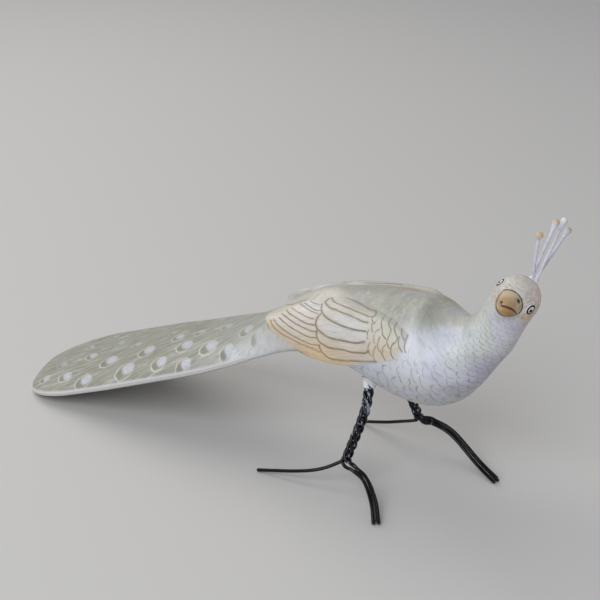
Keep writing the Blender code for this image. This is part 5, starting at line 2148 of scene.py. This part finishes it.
def plume_finish():
    material, tree, shader = fresh_finish("plume_paint_white", 0.4)
    streak = speckled(tree, PLUME_FINENESS)
    colour = mixed(tree, streak.band(0.45, 0.7) * 0.7, PLUME_WHITE, PLUME_WORN)
    tree.links.new(colour, shader.inputs["Base Color"])
    join(tree, streak * 0.2 + 0.3, shader.inputs["Roughness"])
    raised(tree, shader, streak, PLUME_BUMP)
    return material


# %% All the wires
WIRE_SIDES = 14


def wire_look(finish, *sizes):
    """The wire tree's inputs. The sizes are the diameter, the step and the dents' depth and length in mm."""
    names = ("Diameter", "Step", "Dent depth", "Dent length")
    lengths = {name: size * MM for name, size in zip(names, sizes)}
    return lengths | {"Sides": WIRE_SIDES, "Finish": finish}


leg_look = wire_look(enamel_finish(), LEG_WIRE, 0.5, 0.12, 4.0)
plume_look = wire_look(plume_finish(), PLUME_WIRE, 0.4, 0.10, 2.0)
wires = {}
for seed, (name, line) in enumerate(wire_lines.items()):
    look = leg_look if name.startswith("leg") else plume_look
    bare = bare_line(name + "_painted", placed(line))
    wires[name] = grown(bare, wire_tree, look | {"Seed": float(seed)})
print("Wires:", len(wires), "with", sum(len(wire.data.polygons) for wire in wires.values()), "faces")

# %% [markdown]
# Beads
#
# The plumes end in blobs of paint and putty, one round and three drawn out like buds. A blob is a
# shape of revolution about its wire, so it is made as rings round the wire's direction.

# %% The beads' shapes
BEAD_LIFT = 0.25
# Each kind's width and the length of its tail down the wire, in millimetres
BEAD_KINDS = {"ball": (3.8, 1.5), "drop": (3.3, 4.0)}
BEAD_RINGS = 44
BEAD_AROUND = 40
BEAD_TAIL_LIP = 0.12
# The shares of the rings that go to the round cap and to the tail, and how soon the tail narrows
BEAD_CAP = 0.55
BEAD_TAIL = 0.45
BEAD_TAIL_POWER = 0.8
BEAD_TAN = paint(206, 180, 146)
BEAD_PALE = paint(226, 216, 206)
BEAD_PINK = paint(190, 158, 128)
BEAD_FINENESS = 600.0
BEAD_BUMP_FINENESS = 900.0
BEAD_BUMP = 0.00015
PALE_BEAD = 3


def bead_grid(end, reach, kind):
    """Rings from the bead's top down to its tail, and how far down each lies."""
    width, tail = BEAD_KINDS[kind]
    half = width / 2
    side_way = unit(np.cross(reach, (0.0, 0.0, 1.0)))
    other_way = np.cross(reach, side_way)
    share = np.linspace(0, 1, BEAD_RINGS + 1)[1:]
    angle = math.pi / 2 * (1 - share / BEAD_CAP)
    down = np.clip((share - BEAD_CAP) / BEAD_TAIL, 0, 1)
    lip = PLUME_WIRE / 2 + BEAD_TAIL_LIP
    ease = 0.5 + 0.5 * np.cos(math.pi * down**BEAD_TAIL_POWER)
    in_cap = share < BEAD_CAP
    radius = np.where(in_cap, half * np.cos(angle), lip + (half - lip) * ease)
    tail_height = half * BEAD_LIFT - (half * BEAD_LIFT + tail) * down
    height = np.where(in_cap, half * (BEAD_LIFT + np.sin(angle)), tail_height)
    turn = full_turn(BEAD_AROUND)
    around = np.outer(np.cos(turn), side_way) + np.outer(np.sin(turn), other_way)
    grid = end + radius[:, None, None] * around + height[:, None, None] * reach
    poles = np.array([end + reach * half * (1 + BEAD_LIFT), end + reach * height[-1]])
    return grid, poles, np.repeat(share[:, None], BEAD_AROUND, axis=1)


def bead_finish(name, light, dark):
    material, tree, shader = fresh_finish(name, 0.4)
    down = kept_number(tree, "down")
    speckle = speckled(tree, BEAD_FINENESS)
    tip = mixed(tree, speckle.band(0.4, 0.7), light, dark)
    colour = mixed(tree, (down + speckle * 0.2).band(0.5, 0.85), tip, PLUME_WHITE)
    tree.links.new(colour, shader.inputs["Base Color"])
    join(tree, speckle * 0.25 + 0.28, shader.inputs["Roughness"])
    raised(tree, shader, speckled(tree, BEAD_BUMP_FINENESS), BEAD_BUMP)
    return material


bead_tan = bead_finish("bead_paint_tan", BEAD_TAN, BEAD_PINK)
bead_pale = bead_finish("bead_paint_pale", BEAD_PALE, BEAD_PALE)
beads = {}
for number, (end, reach, kind) in enumerate(bead_places, 1):
    grid, poles, down = bead_grid(end, reach, kind)
    finish = bead_pale if number == PALE_BEAD else bead_tan
    values = {"down": with_poles(down, 0, 1)}
    name = f"crest_bead_{number}"
    beads[name] = painted_piece(name + "_painted", grid, poles, finish, values)

# %% [markdown]
# Paste round the wires' roots
#
# Where the wires enter the clay, a collar of white paste fills the hole and runs a little way along
# them. It is a lumpy cone, made as rings along the wires' course with a wavy radius.

# %% The paste collars
COLLAR_RINGS = 60
COLLAR_AROUND = 72
# How far a collar starts inside the clay, its length, and its radius at the clay and at its end
LEG_COLLAR = (1.5, 6.0, 4.6, 2.5)
CREST_COLLAR = (1.0, 3.4, 3.2, 1.9)
CREST_SEED = 7
# The crest's course runs between these places from its root, with the root at its second one
CREST_COURSE = (-6.0, 0.0, 6.0, 12.0)
COLLAR_TAPER = 1.6
# The end is rounded from this share of the length on, this sharply, down to this least share squared
COLLAR_END = 0.8
COLLAR_ROUNDING = 22
COLLAR_LEAST = 0.02
# How many lumps each wave has round the collar, and the least and the most that it adds to the radius
LUMP_WAVES = (1, 2, 3, 5)
LUMP_SIZES = (0.06, 0.16)
# How far ahead the course's direction is read
LOOK_AHEAD = 0.5
PASTE_WHITE = paint(226, 226, 228)


def point_on(course, travelled, place):
    """The point of a course at a length along it."""
    return np.array([np.interp(place, travelled, course[:, k]) for k in range(3)])


def collar_grid(course, start, long, wide, narrow, seed):
    """Rings along a course from just inside the clay, lumpy and ragged at the outer end."""
    draw = np.random.default_rng(seed)
    travelled = lengths_along(course)
    turn = full_turn(COLLAR_AROUND)
    lumps = []
    for waves in LUMP_WAVES:
        first, last = draw.uniform(0, 2 * math.pi), draw.uniform(0, 2 * math.pi)
        lumps.append((waves, first, last, draw.uniform(*LUMP_SIZES)))
    rings = []
    for share in np.linspace(0, 1, COLLAR_RINGS):
        place = travelled[SMOOTH_STEPS] - start + share * long
        middle = point_on(course, travelled, place)
        way = unit(point_on(course, travelled, place + LOOK_AHEAD) - middle)
        side_way = across((1.0, 0.0, 0.0), way)
        other_way = np.cross(way, side_way)
        radius = narrow + (wide - narrow) * (1 - share) ** COLLAR_TAPER
        past_end = max(share - COLLAR_END, 0)
        radius = radius * math.sqrt(max(1 - past_end**2 * COLLAR_ROUNDING, COLLAR_LEAST))
        wave = 0
        for waves, first, last, size in lumps:
            wave = wave + size * np.sin(waves * turn + first + (3 + waves) * share + last)
        reach = radius * (1 + wave)
        spread = np.outer(np.cos(turn) * reach, side_way) + np.outer(np.sin(turn) * reach, other_way)
        rings.append(middle + spread)
    return np.array(rings)


def leg_course(side):
    """The leg's middle line from inside the clay to the ankle, whose hip is at its first whole point."""
    hip, bow, ankle = (np.array(LEGS[side][key], float) for key in ("hip", "bow", "ankle"))
    return smooth([hip + unit(hip - bow) * LEG_SOCKET_DEPTH, hip, bow, ankle])


def paste_finish():
    material, tree, shader = fresh_finish("white_paste", 0.5)
    ground = tree.nodes.new("ShaderNodeRGB")
    ground.outputs[0].default_value = (*PASTE_WHITE, 1.0)
    colour, tooth, clouds = clay_ground(tree, ground.outputs[0])
    finish_clay(tree, shader, colour, tooth, clouds)
    return material


paste = paste_finish()
grids = {}
for seed, side in enumerate(LEGS):
    grids[side] = collar_grid(leg_course(side), *LEG_COLLAR, seed)
crest_course = smooth([crest_root + crest_direction * place for place in CREST_COURSE])
grids["crest"] = collar_grid(crest_course, *CREST_COLLAR, CREST_SEED)
collars = []
for name, grid in grids.items():
    collars.append(painted_piece(f"paste_collar_{name}", grid, end_middles(grid), paste))

# %% [markdown]
# Everything rides on the root
#
# The figurine has no joints, so every piece belongs to the one body. The wires and beads stand for
# their own solids. The skin of the body stands for the solid of the body, and the wings, beak, eyes
# and collars are parts of the same clay.

# %% Pieces and what they stand for
for piece in (body_skin, *wings, beak, *eyes, *collars):
    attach(piece, "root")
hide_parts("body")
for name, wire in wires.items():
    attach(wire, "root")
    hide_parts(name)
for name, bead in beads.items():
    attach(bead, "root")
    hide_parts(name)
print("Pieces in all:", 1 + len(wings) + 1 + len(eyes) + len(collars) + len(wires) + len(beads))

# %% [markdown]
# The stage
#
# The bird stands on a plain pale floor in soft studio light. The strongest light comes from above
# and behind its tail, as from a high window, and a cool fill from the front opens the shadows on
# the breast.

# %% Floor, lights and camera
FLOOR_SIZE = 8.0
FLOOR_GREY = paint(196, 193, 188)
CAMERA_PLACE = (0.2338, -0.4674, 0.350)
CAMERA_TILT = 64.0
CAMERA_TURN = 31.0
CAMERA_LENS = 72.0
KEY_TURN = 160.0
KEY_RISE = 50.0
KEY_DISTANCE = 1.4
KEY_WIDTH = 1.3
KEY_POWER = 8.5
KEY_TINT = (1.0, 0.97, 0.92)
FILL_PLACE = (0.1, -1.45, 1.35)
FILL_WIDTH = 1.4
FILL_POWER = 24.0
FILL_TINT = (0.90, 0.94, 1.0)
LIGHT_AIM = (0, 0, 0.06)
WORLD_TINT = (0.86, 0.90, 1.0, 1.0)
WORLD_STRENGTH = 0.38


def make_floor():
    mesh = bpy.data.meshes.new("floor")
    half = FLOOR_SIZE / 2
    corners = [(-half, -half, 0), (half, -half, 0), (half, half, 0), (-half, half, 0)]
    mesh.from_pydata(corners, [], [(0, 1, 2, 3)])
    material, tree, shader = fresh_finish("pale_floor", 0.6)
    shader.inputs["Base Color"].default_value = (*FLOOR_GREY, 1.0)
    mesh.materials.append(material)
    return linked("floor", mesh)


def soft_light(name, place, width, power, tint):
    """A square panel that faces the bird."""
    panel = bpy.data.lights.new(name, "AREA")
    panel.size = width
    panel.energy = power
    panel.color = tint
    made = linked(name, panel)
    made.location = place
    aim = Vector(LIGHT_AIM) - Vector(place)
    made.rotation_euler = aim.to_track_quat("-Z", "Y").to_euler()


def on_sphere(turn, rise, distance):
    turn, rise = math.radians(turn), math.radians(rise)
    level = math.cos(rise)
    return tuple(distance * np.array([math.cos(turn) * level, math.sin(turn) * level, math.sin(rise)]))


make_floor()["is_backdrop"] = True
soft_light("window", on_sphere(KEY_TURN, KEY_RISE, KEY_DISTANCE), KEY_WIDTH, KEY_POWER, KEY_TINT)
soft_light("fill", FILL_PLACE, FILL_WIDTH, FILL_POWER, FILL_TINT)
world = bpy.data.worlds.new("studio")
world.use_nodes = True
background = world.node_tree.nodes["Background"].inputs
background["Color"].default_value = WORLD_TINT
background["Strength"].default_value = WORLD_STRENGTH
bpy.context.scene.world = world
bpy.context.scene.view_settings.view_transform = "Standard"
lens = bpy.data.cameras.new("photo_view")
lens.lens = CAMERA_LENS
camera = linked("photo_view", lens)
camera.location = Vector(CAMERA_PLACE) + Vector(ORIGIN)
camera.rotation_euler = (math.radians(CAMERA_TILT), 0, math.radians(CAMERA_TURN))
bpy.context.scene.camera = camera
print("The camera stands at", [round(value, 3) for value in camera.location])

# %% Sizes and the end
visual_box = [list(corner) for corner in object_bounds()]
for axis, letter in enumerate("xyz"):
    spans = [round(1000 * (box[1][axis] - box[0][axis]), 1) for box in (cad_box, visual_box)]
    print("Size along", letter, "of the solids and of the dressed bird, in mm:", spans)
